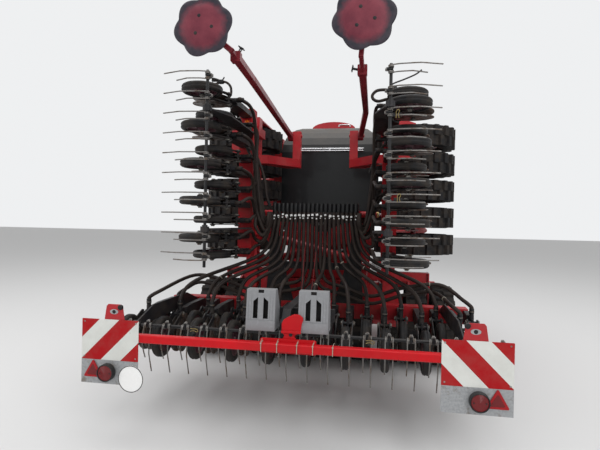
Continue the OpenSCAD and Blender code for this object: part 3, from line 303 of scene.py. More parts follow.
def make_materials():
    return {
        "red_paint": painted("red_paint", RED, RED_DARK),
        "bright_red_paint": painted("bright_red_paint", BRIGHT_RED, BRIGHT_DARK, 0.34, 0.1, 0.4, 0.03, 0.12),
        "marker_red": painted("marker_red", (0.20, 0.012, 0.020), (0.12, 0.010, 0.016), 0.4, 0.1, 0.3),
        "hopper_black": plastic("hopper_black", (0.008, 0.009, 0.010), 0.32, 0.5, 0.1, 0.3),
        "dark_steel": painted("dark_steel", (0.020, 0.020, 0.022), (0.010, 0.010, 0.012), 0.5, 0.5, 0.8, 0, 0.2),
        "bare_steel": steel("bare_steel", (0.30, 0.29, 0.28), RUST, 0.45),
        "tine_steel": steel("tine_steel", (0.20, 0.19, 0.18), (0.10, 0.07, 0.05), 0.4, 0.45, 0.7),
        "disc_steel": steel("disc_steel", (0.22, 0.20, 0.19), (0.09, 0.05, 0.032), 0.6, 0.4, 0.8),
        "zinc": steel("zinc", (0.62, 0.50, 0.22), (0.20, 0.12, 0.05), 0.1, 0.3, 0.85),
        "old_zinc": steel("old_zinc", (0.33, 0.25, 0.10), (0.14, 0.08, 0.04), 0.2, 0.4, 0.7),
        "cylinder_chrome": steel("cylinder_chrome", (0.75, 0.75, 0.76), (0.3, 0.28, 0.25), 0.02, 0.12, 1.0),
        "tyre_rubber": rubber("tyre_rubber", (0.010, 0.010, 0.011), 0.45),
        "press_rubber": rubber("press_rubber", (0.011, 0.011, 0.012), 0.38, 0.5),
        "hose_rubber": rubber("hose_rubber", (0.018, 0.013, 0.012), 0.3, 0.42),
        "plate_grey": steel("plate_grey", (0.36, 0.37, 0.38), (0.18, 0.16, 0.14), 0.25, 0.5, 0.5),
        "lamp_red": plastic("lamp_red", (0.13, 0.005, 0.007), 0.16, 0.1, 0.12, 0.3),
        "sign_white": plastic("sign_white", (0.80, 0.80, 0.79), 0.35, 0.2),
        "chock_grey": plastic("chock_grey", (0.22, 0.225, 0.235), 0.6, 0.2, 0, 0.2),
        "press_rim": painted("press_rim", (0.085, 0.022, 0.034), (0.040, 0.016, 0.022), 0.5, 0.5, 0.6, 0),
        "row_paint": row_paint("row_paint"),
        "dull_zinc": steel("dull_zinc", (0.16, 0.155, 0.14), (0.09, 0.055, 0.035), 0.45, 0.5, 0.6),
        "reflex_red": plastic("reflex_red", (0.30, 0.006, 0.010), 0.2, 0.1, 0.1, 0.2),
        "reflex_orange": plastic("reflex_orange", (0.85, 0.16, 0.02), 0.2, 0.1, 0.6),
        "rail_bright": steel("rail_bright", (0.80, 0.80, 0.82), (0.3, 0.28, 0.26), 0.05, 0.22, 0.7),
        "black_plastic": plastic("black_plastic", (0.008, 0.008, 0.009), 0.42, 0.12, 0.05, 0.25),
        "cord_red": painted("cord_red", (0.20, 0.012, 0.015), (0.12, 0.010, 0.012), 0.6, 0.1, 0.2, 0, 0.2),
        "label_white": plastic("label_white", (0.75, 0.75, 0.74), 0.4, 0.1),
        "tie_pale": plastic("tie_pale", (0.34, 0.31, 0.25), 0.5, 0.2, 0),
        "panel_left": striped("panel_left", -1.2125, (0.34, 0.007, 0.010), (0.62, 0.63, 0.60)),
        "panel_right": striped("panel_right", 1.2125, (0.34, 0.007, 0.010), (0.62, 0.63, 0.60)),
    }


MATERIAL_OF_SLOT = {"panel_stripes": "panel_right"}
MATERIAL_OF_NODE = {
    "marker_arm_left": "marker_red", "marker_arm_right": "marker_red",
    "marker_disc_left": "marker_red", "marker_disc_right": "marker_red",
    "seed_discs_centre": "disc_steel", "seed_discs_left": "disc_steel", "seed_discs_right": "disc_steel",
    "seed_bar_centre": "row_paint", "seed_bar_left": "row_paint", "seed_bar_right": "row_paint",
    "harrow_centre": "tine_steel", "harrow_left": "tine_steel", "harrow_right": "tine_steel",
}


def dress_frame(materials):
    for part in frame["record"]["subparts"]:
        slot = part["material_slot"]
        name = MATERIAL_OF_NODE.get(part["node"], MATERIAL_OF_SLOT.get(slot, slot))
        data = frame["nodes"][part["node"]].data
        data.materials.clear()
        data.materials.append(materials[name])


# Mesh building
class Shape:
    """Corners and faces of one piece, each face with the number of its paint."""

    def __init__(self):
        self.corners = []
        self.faces = []
        self.paints = []

    def add(self, corners, faces, place, paint):
        first = len(self.corners)
        flip = place.determinant() < 0
        self.corners += [tuple(place @ Vector(c)) for c in corners]
        for face in faces:
            turned = reversed(face) if flip else face
            self.faces.append(tuple(first + i for i in turned))
            self.paints.append(paint)

    def skin(self, rings, place=Matrix(), paint=0, around=True, caps=True):
        """Skin over rings of equal length, joined in turn; around joins the last ring to the first."""
        count = len(rings[0])
        corners = [c for ring in rings for c in ring]
        faces = []
        for i in range(len(rings) if around else len(rings) - 1):
            a, b = i * count, (i + 1) % len(rings) * count
            for j in range(count):
                k = (j + 1) % count
                faces.append((a + j, a + k, b + k, b + j))
        if not around and caps:
            last = (len(rings) - 1) * count
            faces.append(tuple(reversed(range(count))))
            faces.append(tuple(range(last, last + count)))
        self.add(corners, faces, place, paint)

    def lathe(self, profile, place=Matrix(), turns=32, paint=0):
        """Turns a closed outline of (radius, along) points about the X axis."""
        rings = []
        for i in range(turns):
            a = 2 * math.pi * i / turns
            rings.append([(x, r * math.cos(a), r * math.sin(a)) for r, x in profile])
        self.skin(rings, place, paint)

    def rod(self, start, end, radius, place=Matrix(), sides=12, paint=0):
        self.tube([start, end], radius, place, sides, paint)

    def tube(self, path, radius, place=Matrix(), sides=8, paint=0, closed=False):
        """Round wire along a path; its rings keep their turn from one to the next."""
        path = [Vector(p) for p in path]
        last = len(path) - 1
        rings = []
        up = None
        for i, point in enumerate(path):
            if closed:
                along = (path[(i + 1) % len(path)] - path[i - 1]).normalized()
            else:
                along = (path[min(i + 1, last)] - path[max(i - 1, 0)]).normalized()
            if up is None:
                up = along.orthogonal().normalized()
            up = (up - along * up.dot(along)).normalized()
            side = along.cross(up)
            thick = radius[i] if isinstance(radius, list) else radius
            rings.append([point + thick * (math.cos(2 * math.pi * k / sides) * up
                                           + math.sin(2 * math.pi * k / sides) * side) for k in range(sides)])
        self.skin(rings, place, paint, around=closed)

    def beam(self, start, end, width, height, edge=0.004, place=Matrix(), paint=0):
        """Square bar with bevelled edges between two places; it lies as level as it can."""
        start, end = Vector(start), Vector(end)
        along = (end - start).normalized()
        side = along.cross(Vector((0, 0, 1)) if abs(along.z) < 0.95 else Vector((0, 1, 0))).normalized()
        up = side.cross(along)
        w, h, e = width / 2, height / 2, edge
        outline = ((w - e, h), (w, h - e), (w, e - h), (w - e, -h), (e - w, -h), (-w, e - h), (-w, h - e), (e - w, h))
        self.skin([[p + a * side + b * up for a, b in outline] for p in (start, end)], place, paint, around=False)

    def block(self, low, high, place=Matrix(), edge=0.003, paint=0):
        """Box with bevelled edges, between two corners."""
        rings = []
        for z, inset in ((low[2], edge), (low[2] + edge, 0), (high[2] - edge, 0), (high[2], edge)):
            x0, x1, y0, y1 = low[0] + inset, high[0] - inset, low[1] + inset, high[1] - inset
            e = edge
            rings.append([(x0 + e, y0, z), (x1 - e, y0, z), (x1, y0 + e, z), (x1, y1 - e, z),
                          (x1 - e, y1, z), (x0 + e, y1, z), (x0, y1 - e, z), (x0, y0 + e, z)])
        self.skin(rings, place, paint, around=False)

    def plate(self, outline, y0, y1, place=Matrix(), edge=0.001, paint=0):
        """Plate in the XZ plane with a bevel round both faces; the outline runs counter-clockwise seen from -Y."""
        middle = Vector((sum(p[0] for p in outline) / len(outline), 0, sum(p[1] for p in outline) / len(outline)))
        rings = []
        for y, inset in ((y1, edge), (y1 - edge, 0), (y0 + edge, 0), (y0, edge)):
            ring = []
            for x, z in outline:
                out = Vector((x, 0, z)) - middle
                ring.append((x - out.normalized().x * inset, y, z - out.normalized().z * inset))
            rings.append(ring)
        self.skin(rings, place, paint, around=False)

    def bolt(self, place, size, height):
        """Hexagon head with a washer; it stands out along +X."""
        self.lathe([(0.0002, 0), (size * 0.78, 0), (size * 0.78, height * 0.2), (0.0002, height * 0.2)], place, 16)
        rings = []
        for x, r in ((height * 0.2, 0.56), (height * 0.85, 0.56), (height, 0.48)):
            rings.append([(x, size * r * math.cos(math.radians(60 * k)), size * r * math.sin(math.radians(60 * k)))
                          for k in range(6)])
        self.skin(rings, place, 0, around=False)


def piece(name, shape, body, paints, replaced=(), sharp=34):
    data = bpy.data.meshes.new(name)
    data.from_pydata(shape.corners, [], shape.faces)
    for paint in paints:
        data.materials.append(materials[paint])
    data.polygons.foreach_set("material_index", shape.paints)
    data.polygons.foreach_set("use_smooth", [True] * len(shape.faces))
    data.update()
    data.set_sharp_from_angle(angle=math.radians(sharp))
    thing = bpy.data.objects.new(name, data)
    bpy.context.scene.collection.objects.link(thing)
    if body:
        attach(thing, body)
    if replaced:
        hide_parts(*replaced)
    return thing


def at(x, y, z):
    """Place from the middle of the machine, the rear face of the light bar and the ground."""
    return Vector((x, y + REAR, z))


def moved(x, y, z):
    return Matrix.Translation(at(x, y, z))


def smooth(route, steps):
    """Points of a soft curve through each point of a route."""
    route = [Vector(p) for p in route]
    last = len(route) - 1
    points = []
    for i in range(last):
        a, b, c, d = route[max(i - 1, 0)], route[i], route[i + 1], route[min(i + 2, last)]
        for k in range(steps):
            t = k / steps
            points.append(b + t * ((c - a) / 2 + t * ((a - 2.5 * b + 2 * c - 0.5 * d)
                                                       + t * (1.5 * (b - c) + (d - a) / 2))))
    return points + [route[-1]]


ORIGIN = moved(0, 0, 0)
BACKWARDS = Matrix.Rotation(-math.pi / 2, 4, "Z")

# Sections: name, first row's edge, rows, first rank and the place of what is drawn at work
RAISED = Matrix(((0, 0, -1, FOLD_SUM), (0, 1, 0, 0), (1, 0, 0, -FOLD_DROP), (0, 0, 0, 1)))
MIRRORED = Matrix.Diagonal((-1, 1, 1, 1))
SECTIONS = (("centre", -SECTION_HALF, 20, 0, Matrix()),
            ("left", SECTION_HALF, 10, 1, MIRRORED @ RAISED),
            ("right", SECTION_HALF, 10, 0, RAISED))
BODY_OF_SECTION = {"centre": "frame", "left": "wing_left", "right": "wing_right"}


def row_places(start, rows, first, rank):
    return [start + ROW_PITCH * (i + 0.5) for i in range(rows) if (i + first) % 2 == rank]


def make_press_wheels():
    half = [(0.1625, 0.0035), (0.165, 0.009), (0.1642, 0.015), (0.160, 0.0225), (0.152, 0.0285), (0.143, 0.0315),
            (0.131, 0.0300), (0.122, 0.0255), (0.118, 0.0190)]
    tyre = [(r, -x) for r, x in reversed(half)] + half
    rim_half = [(0.1185, 0.0235), (0.1140, 0.0245), (0.1085, 0.0120), (0.0960, 0.0090), (0.0900, 0.0072),
                (0.0560, 0.0072), (0.0520, 0.0105), (0.0330, 0.0105), (0.0290, 0.0280), (0.0250, 0.0300),
                (0.0104, 0.0300)]
    rim = [(r, x) for r, x in rim_half] + [(r, -x) for r, x in reversed(rim_half)]
    for section, start, rows, first, turn in SECTIONS:
        for rank, rank_name in ((0, "rear"), (1, "front")):
            shape = Shape()
            for x in row_places(start, rows, first, rank):
                centre = turn @ Matrix.Translation((x, PRESS_YS[rank], PRESS_Z))
                shape.lathe(tyre, centre, 48)
                shape.lathe(rim, centre, 32, 1)
                for k in range(5):
                    a = math.radians(72 * k)
                    for side in (-1, 1):
                        head = Matrix.Translation((side * 0.0105, 0.043 * math.cos(a), 0.043 * math.sin(a)))
                        spin = Matrix.Rotation(math.pi if side < 0 else 0, 4, "Z")
                        shape.bolt(centre @ head @ spin, 0.009, 0.006)
            node = "press_" + rank_name + "_" + section
            piece("press_wheels_" + section + "_" + rank_name, shape, BODY_OF_NODE[node],
                  ("press_rubber", "press_rim"), (node,))


def tine_path():
    """Wire of one double tine about its tube: long leg, coil, bridge, coil and short leg."""
    ring = 0.0165
    path = [(0.027, 0.009, -0.350), (0.027, -0.012, -0.285)]
    path += [(0.027, -0.038, -0.205), (0.027, -0.036, -0.140), (0.027, -0.030, -0.060), (0.027, -ring, -0.012)]
    wraps = 14 * 2
    for k in range(wraps + 1):
        a = math.pi - 2 * math.pi * 1.75 * k / wraps
        path.append((0.027 - 0.0165 * k / wraps, ring * math.cos(a), ring * math.sin(a)))
    path += [(0.0105, -0.002, 0.030), (0.0060, 0.010, 0.037)]
    other = [(-x, y, z) for x, y, z in reversed(path)]
    shorter = [(x, y, z if z > -0.02 else -0.012 + (z + 0.012) * 0.70) for x, y, z in other]
    return path + shorter


def make_harrows():
    path = tine_path()
    for section, start, rows, _, turn in SECTIONS:
        shape = Shape()
        end = start + rows * ROW_PITCH
        tube = turn @ Matrix.Translation((0, REAR + HARROW_Y, HARROW_Z))
        # The tube takes paint 1, near-black plastic, as painted shade for the shadow it lies in under the light bar.
        shape.lathe([(0.0002, start + 0.015), (0.0105, start + 0.015), (0.0115, start + 0.017), (0.0115, end - 0.017),
                     (0.0105, end - 0.015), (0.0002, end - 0.015)], tube, 16, 1)
        for x in (start + 2 * ROW_PITCH, end - 2 * ROW_PITCH):
            shape.lathe([(0.0112, x - 0.032), (0.0195, x - 0.032), (0.0210, x - 0.029), (0.0210, x + 0.029),
                         (0.0195, x + 0.032), (0.0112, x + 0.032)], tube, 24, 1)
        for i in range(rows):
            middle = start + ROW_PITCH * (i + 0.5) + 0.020
            shape.tube(path, 0.0048, tube @ Matrix.Translation((middle, 0, 0)), 7)
            clamp = tube @ Matrix.Translation((middle, 0.0, 0.020))
            shape.block((-0.0075, -0.017, -0.034), (0.0075, 0.015, 0.010), clamp, 0.002, 1)
            shape.bolt(clamp @ Matrix.Translation((0, 0, 0.010)) @ Matrix.Rotation(-math.pi / 2, 4, "Y"), 0.012, 0.009)
        node = "harrow_" + section
        piece("tines_" + section, shape, BODY_OF_SECTION[section], ("tine_steel", "black_plastic"),
              (node,))


def make_row_bolts():
    """Bolt heads on both ends of each wheel arm's pivot and each press wheel's axle."""
    for section, start, rows, first, turn in SECTIONS:
        shape = Shape()
        for rank in (0, 1):
            for x in row_places(start, rows, first, rank):
                y = PRESS_YS[rank]
                for side in (-1, 1):
                    spin = Matrix.Rotation(math.pi if side < 0 else 0, 4, "Z")
                    axle = Matrix.Translation((x + side * 0.045, y, PRESS_Z))
                    pivot = Matrix.Translation((x + side * 0.045, y + 0.300, PRESS_Z + 0.125))
                    shape.bolt(turn @ axle @ spin, 0.030, 0.013)
                    shape.bolt(turn @ pivot @ spin, 0.034, 0.014)
                    hub = Matrix.Translation((x + side * 0.034, y + 0.365, PRESS_Z - 0.050))
                    shape.bolt(turn @ hub @ spin, 0.036, 0.012)
        piece("row_bolts_" + section, shape, BODY_OF_SECTION[section], ("dull_zinc",))


def hose_routes():
    """Control points of each seed hose, from the rack to its coulter, as in the CAD part."""
    routes = []
    half = RACK_HOSES // 2
    step = RACK_HALF / (half - 0.5)
    hang = RACK_FACE
    for side in (-1, 1):
        for j in range(half):
            x = side * ROW_PITCH * (j + 0.5)
            rank = (half + j if side > 0 else half - 1 - j) % 2
            end = Vector((x, COULTER_YS[rank] - 0.030, COULTER_TOP))
            outer = j - (half - 2)
            rack_x = side * step * (j + 2.5 if outer < 0 else outer + 0.5)
            lift = 0.068 * outer
            route = [(rack_x, hang, 1.790), (rack_x, hang - 0.005, 1.590)]
            if outer < 0:
                route += [(rack_x + (x - rack_x) * 0.16, hang - 0.045, 1.180 + 0.016 * j),
                          (rack_x + (x - rack_x) * 0.85, end.y + 0.090, 1.060)]
            else:
                route += [(rack_x, hang - 0.009, 1.300), (rack_x + side * 0.012, hang - 0.014, 1.110 + 0.040 * outer),
                          (side * (0.090 + 0.050 * outer), hang - 0.040, 0.985 + 0.055 * outer),
                          (side * 0.300, hang - 0.060, 0.930 + lift), (side * 0.560, hang - 0.080, 0.860 + lift),
                          (side * 0.840, hang - 0.100, 0.950 + lift),
                          (side * (1.110 + 0.060 * outer), 1.400, 0.995 + lift),
                          (x - side * 0.060, end.y + 0.060, 0.945)]
            route.append(end + Vector((0, 0, 0.060)))
            routes.append(([at(*p) for p in route], at(*end), rack_x))
    return routes


def make_hoses():
    hoses = Shape()
    cuffs = Shape()
    for route, end, rack_x in hose_routes():
        hoses.tube(smooth(route, 7) + [end], HOSE_RADIUS, Matrix(), 12)
        up = Matrix.Rotation(-math.pi / 2, 4, "Y")
        foot = Matrix.Translation(end) @ up
        cuffs.lathe([(0.0172, 0.004), (0.0205, 0.004), (0.0215, 0.008), (0.0215, 0.046), (0.0198, 0.052),
                     (0.0172, 0.052)], foot, 16)
        cuffs.lathe([(0.0216, 0.018), (0.0228, 0.018), (0.0228, 0.028), (0.0216, 0.028)], foot, 16, 1)
        top = Matrix.Translation(at(rack_x, RACK_FACE, 1.600)) @ up
        cuffs.lathe([(0.0172, 0.108), (0.0208, 0.110), (0.0215, 0.116), (0.0215, 0.186), (0.0205, 0.192),
                     (0.0002, 0.192)], top, 16)
    piece("seed_hoses", hoses, "frame", ("hose_rubber",), ("hoses",))
    piece("hose_cuffs", cuffs, "frame", ("black_plastic", "dull_zinc"))


# Track markers, drawn on the right: bend and tip of the arm, and middle of the disc
MARKERS = {
    "left": ((0.350, 0.420, 2.668), (0.320, -0.188, 2.660), (0.480, -0.188, 2.790)),
    "right": ((0.472, 1.500, 2.680), (0.480, -0.188, 2.600), (0.495, -0.188, 2.790)),
}
MARKER_PIVOT = (0.400, 2.300, 2.600)
DISC_Y = -0.260


def disc_paint(name, x, z):
    """Dusty red that fades into dark grey towards the rim of a marker disc."""
    p = Paint(name, 0.5, gloss=0.2)
    across = p.math("POWER", p.math("ADD", p.axis("X"), -x), 2.0)
    along = p.math("POWER", p.math("ADD", p.axis("Z"), -z), 2.0)
    out = p.math("POWER", p.math("ADD", across, along), 0.5)
    blur = p.math("ADD", out, p.steps(p.noise(26, 4), 0.3, 0.7, -0.010, 0.010))
    rim = p.steps(blur, 0.118, 0.158)
    cloud = p.steps(p.noise(12, 5), 0.35, 0.7)
    red = p.mix(cloud, (0.125, 0.022, 0.036), (0.185, 0.036, 0.052))
    grey = p.mix(p.steps(p.noise(20, 4), 0.3, 0.7), (0.020, 0.020, 0.028), (0.048, 0.038, 0.050))
    p.colour(p.mix(rim, red, grey))
    p.bump(p.noise(120, 3), 0.0004)
    return p.material


def make_marker_discs():
    lobes = 6
    around = 132
    profile = [(0.0002, -0.0118, 0), (0.030, -0.0118, 0), (0.055, -0.0118, 0), (0.092, -0.0112, 0),
               (0.112, -0.0080, 0), (0.130, -0.0030, 0.1), (0.140, -0.0010, 0.3), (0.150, -0.0004, 0.6),
               (0.168, -0.0012, 0.9), (0.181, 0.0000, 1), (0.187, 0.0020, 1), (0.190, 0.0045, 1), (0.189, 0.0075, 1),
               (0.183, 0.0090, 1), (0.165, 0.0080, 0.8), (0.140, 0.0085, 0.3), (0.0002, 0.0085, 0)]
    for side, name in ((-1, "left"), (1, "right")):
        x, _, z = MARKERS[name][2]
        materials["disc_face_" + name] = disc_paint("disc_face_" + name, side * x, z)
        shape = Shape()
        rings = []
        for k in range(around):
            a = 2 * math.pi * k / around
            wave = math.cos(lobes / 2 * (a - math.radians(13)))
            valley = 1 - (wave * wave) ** 0.62
            rings.append([(r * (1 - 0.125 * share * valley) * math.cos(a), y + 0.004 * share * valley,
                           r * (1 - 0.125 * share * valley) * math.sin(a)) for r, y, share in profile])
        place = moved(side * x, DISC_Y, z)
        shape.skin(rings, place)
        for k in range(3):
            a = math.radians(109 + 120 * k)
            head = place @ Matrix.Translation((0.062 * math.cos(a), -0.0112, 0.062 * math.sin(a)))
            shape.bolt(head @ BACKWARDS @ Matrix.Translation((-0.003, 0, 0)), 0.021, 0.0048)
            for index in range(len(shape.paints)):
                if index >= around * len(profile):
                    shape.paints[index] = 1
        hub = [(0.0002, 0.030), (0.034, 0.030), (0.040, 0.026), (0.040, 0.008), (0.0002, 0.008)]
        shape.lathe(hub, place @ Matrix.Rotation(math.pi / 2, 4, "Z"), 32, 1)
        piece("lobed_disc_" + name, shape, BODY_OF_NODE["marker_disc_" + name],
              ("disc_face_" + name, "dark_steel"), ("marker_disc_" + name,))


def make_marker_arms():
    """Square tubes from the pivot over the bend to the clamp collar, and a slim tube on to the disc."""
    for side, name in ((-1, "left"), (1, "right")):
        turn = MIRRORED if side < 0 else Matrix()
        bend, tip, hub = (at(*p) for p in MARKERS[name])
        pivot = at(*MARKER_PIVOT)
        shape = Shape()
        shape.lathe([(0.0206, -0.030), (0.052, -0.030), (0.055, -0.027), (0.055, 0.027), (0.052, 0.030),
                     (0.0206, 0.030)], turn @ Matrix.Translation(pivot), 32)
        start = pivot + (bend - pivot).normalized() * 0.045
        shape.beam(start, bend, 0.052, 0.052, 0.005, turn)
        collar = tip.lerp(bend, 0.18)
        run = (bend - tip).normalized()
        shape.beam(bend, collar, 0.050, 0.052, 0.005, turn)
        shape.beam(collar + 0.045 * run, collar - 0.010 * run, 0.064, 0.066, 0.004, turn)
        shape.beam(collar, tip, 0.028, 0.034, 0.004, turn)
        for k in (-1, 1):
            low = collar + run * (0.018 + 0.014 * k)
            out = Vector((-0.5 if name == "left" else -0.9, 0, 0.87 if name == "left" else 0.2)).normalized()
            shape.rod(low + 0.030 * out, low + 0.070 * out, 0.0045, turn, 8, 1)
            cross = run.cross(out)
            shape.rod(low + 0.068 * out - 0.020 * cross, low + 0.068 * out + 0.020 * cross, 0.004, turn, 8, 1)
        rise = (hub - tip).normalized()
        shape.beam(tip - 0.012 * rise, hub, 0.030, 0.034, 0.004, turn)
        shape.lathe([(0.0002, -0.044), (0.026, -0.044), (0.030, -0.040), (0.030, 0.018), (0.0002, 0.018)],
                    turn @ Matrix.Translation(hub) @ Matrix.Rotation(math.pi / 2, 4, "Z"), 24)
        piece("marker_tube_" + name, shape, BODY_OF_NODE["marker_arm_" + name], ("marker_red", "dark_steel"),
              ("marker_arm_" + name,))


def rounded(x0, x1, z0, z1, radius, steps=5):
    """Corner points of a rounded rectangle in the XZ plane, counter-clockwise seen from -Y."""
    points = []
    for cx, cz, start in ((x1 - radius, z0 + radius, -90), (x1 - radius, z1 - radius, 0),
                          (x0 + radius, z1 - radius, 90), (x0 + radius, z0 + radius, 180)):
        for k in range(steps + 1):
            a = math.radians(start + 90 * k / steps)
            points.append((cx + radius * math.cos(a), cz + radius * math.sin(a)))
    return points


def make_rear_signs():
    """Warning panels, lamps, reflectors, the blank round sign and their fastenings."""
    for side, name in ((-1, "left"), (1, "right")):
        x0, x1 = sorted(side * x for x in PANEL_X)
        panel = Shape()
        panel.plate(rounded(x0, x1, *PANEL_Z, 0.005), -0.004, 0.0, ORIGIN, 0.0008)
        rivets = Shape()
        for x in (x0 + 0.020, x1 - 0.020):
            for z in (PANEL_Z[0] + 0.020, PANEL_Z[1] - 0.020):
                rivets.lathe([(0.0002, 0), (0.006, 0), (0.0055, 0.0014), (0.003, 0.0026), (0.0002, 0.0028)],
                             moved(x, -0.004, z) @ BACKWARDS, 12)
        piece("panel_" + name, panel, "frame", ("panel_" + name,), ("warning_panels",))
        piece("panel_rivets_" + name, rivets, "frame", ("bare_steel",))

        lamp = Shape()
        facing = moved(side * 1.224, -0.040, 0.544) @ BACKWARDS
        ridges = [(0.0002, 0.0060)]
        for k in range(1, 9):
            ridges += [(0.006 * k, 0.0060 - 0.0003 * k), (0.006 * k + 0.002, 0.0048 - 0.0003 * k)]
        lamp.lathe(ridges + [(0.053, 0.0), (0.0002, 0.0)], facing, 48)
        lamp.lathe([(0.0525, -0.001), (0.0525, 0.0045), (0.0555, 0.006), (0.0595, 0.004), (0.0605, -0.030),
                    (0.0592, -0.036), (0.0592, -0.001)], facing, 48, 1)
        for k in (-1, 1):
            lamp.lathe([(0.0002, 0.0065), (0.0045, 0.0065), (0.0045, 0.0045), (0.0002, 0.0045)],
                       facing @ Matrix.Translation((0, 0.036 * k, 0)), 10, 1)
        piece("tail_lamp_" + name, lamp, "frame", ("lamp_red", "black_plastic"))

        reflector = Shape()
        cx, cz = side * 1.332, 0.545
        for size, y0, y1, paint in ((0.078, -0.0125, -0.0042, 0), (0.050, -0.0135, -0.0120, 1)):
            corners = []
            for start in (-30, 90, 210):
                for k in range(5):
                    a = math.radians(start + 60 * (k / 4 - 0.5))
                    b = math.radians(start)
                    corners.append((cx + (size - 0.014) * math.cos(b) + 0.010 * math.cos(a),
                                    cz + (size - 0.014) * math.sin(b) + 0.010 * math.sin(a)))
            reflector.plate(corners, y0, y1, ORIGIN, 0.0008, paint)
        piece("reflector_" + name, reflector, "frame", ("reflex_red", "lamp_red"))

        knob = Shape()
        kx, kz = (-1.130, 0.996) if side < 0 else (1.148, 0.998)
        knob.lathe([(0.0002, 0.030), (0.014, 0.029), (0.0185, 0.024), (0.0185, 0.012), (0.013, 0.006), (0.010, 0.0),
                    (0.0002, 0.0)], moved(kx, 0.002, kz) @ BACKWARDS, 20)
        piece("bracket_knob_" + name, knob, "frame", ("black_plastic",))

    rim = Shape()
    sign = moved(-1.051, -0.0075, 0.506)
    rim.tube([(0.0895 * math.cos(2 * math.pi * k / 48), 0, 0.0895 * math.sin(2 * math.pi * k / 48)) for k in range(48)],
             0.0026, sign, 6, closed=True)
    piece("sign_rim", rim, "frame", ("black_plastic",))


def make_light_bar():
    """Bar with its middle plate and slender neck, the arm to the seed bar, and the brackets above the panels."""
    shape = Shape()
    shape.block((-1.364, BAR_Y[0], BAR_Z[0]), (1.364, BAR_Y[1], BAR_Z[1]), ORIGIN, 0.006)
    shape.plate([(-0.156, 0.733), (0.212, 0.733), (0.218, 0.740), (0.218, 0.822), (0.208, 0.830), (-0.150, 0.830),
                 (-0.162, 0.820), (-0.162, 0.740)], 0.0576, 0.0696, ORIGIN, 0.002)
    shape.plate([(-0.012, 0.822), (0.081, 0.822), (0.066, 0.850), (0.110, 0.872), (0.116, 0.930), (0.126, 0.955),
                 (0.122, 0.975), (0.096, 0.992), (0.064, 0.992), (0.026, 0.974), (-0.006, 0.955), (-0.018, 0.930),
                 (-0.018, 0.872), (0.000, 0.850)], 0.0700, 0.0880, ORIGIN, 0.003)
    shape.block((-0.020, 0.0600, 0.866), (0.114, 0.0699, 0.884), ORIGIN, 0.003)
    shape.rod(at(0.046, 0.0590, 0.858), at(0.046, 0.0905, 0.858), 0.011, Matrix(), 16, 1)
    sideways = ORIGIN @ Matrix.Rotation(math.pi / 2, 4, "Z")
    shape.plate([(0.0885, 0.800), (0.112, 0.785), (0.1898, 0.940), (1.550, 0.940), (1.550, 0.8303), (1.650, 0.8303),
                 (1.650, 1.002), (1.640, 1.010), (0.170, 1.010), (0.0885, 0.930)], -0.030, 0.030, sideways, 0.003, 1)
    shape.block((-0.300, 0.2503, 0.915), (0.320, 0.2703, 1.005), ORIGIN, 0.003, 1)
    for middle, eye in ((-1.185, -1.188), (1.2015, 1.2005)):
        shape.plate([(middle - 0.0745, 0.809), (middle + 0.0745, 0.809), (middle + 0.0745, PANEL_Z[1]),
                     (middle + 0.0610, 0.998), (middle + 0.0480, 1.012), (middle - 0.0480, 1.012),
                     (middle - 0.0610, 0.998), (middle - 0.0745, PANEL_Z[1])], 0.0023, 0.0083, ORIGIN, 0.0015, 2)
        shape.plate([(middle - 0.090, 0.721), (middle + 0.090, 0.721), (middle + 0.090, 0.7530),
                     (middle - 0.090, 0.7530)], 0.0023, 0.0083, ORIGIN, 0.0015, 2)
        oval = [(math.cos(math.radians(15 * k)), math.sin(math.radians(15 * k))) for k in range(24)]
        for wide, high, y, paint in ((0.0310, 0.0175, 0.0008, 3), (0.0130, 0.0130, 0.0000, 1)):
            shape.plate([(eye + wide * c, 0.960 + high * d) for c, d in oval], y, 0.0030, ORIGIN, 0.0006,
                        paint)
    piece("light_bar_body", shape, "frame", ("bright_red_paint", "dark_steel", "red_paint", "plate_grey"),
          ("light_bar",))


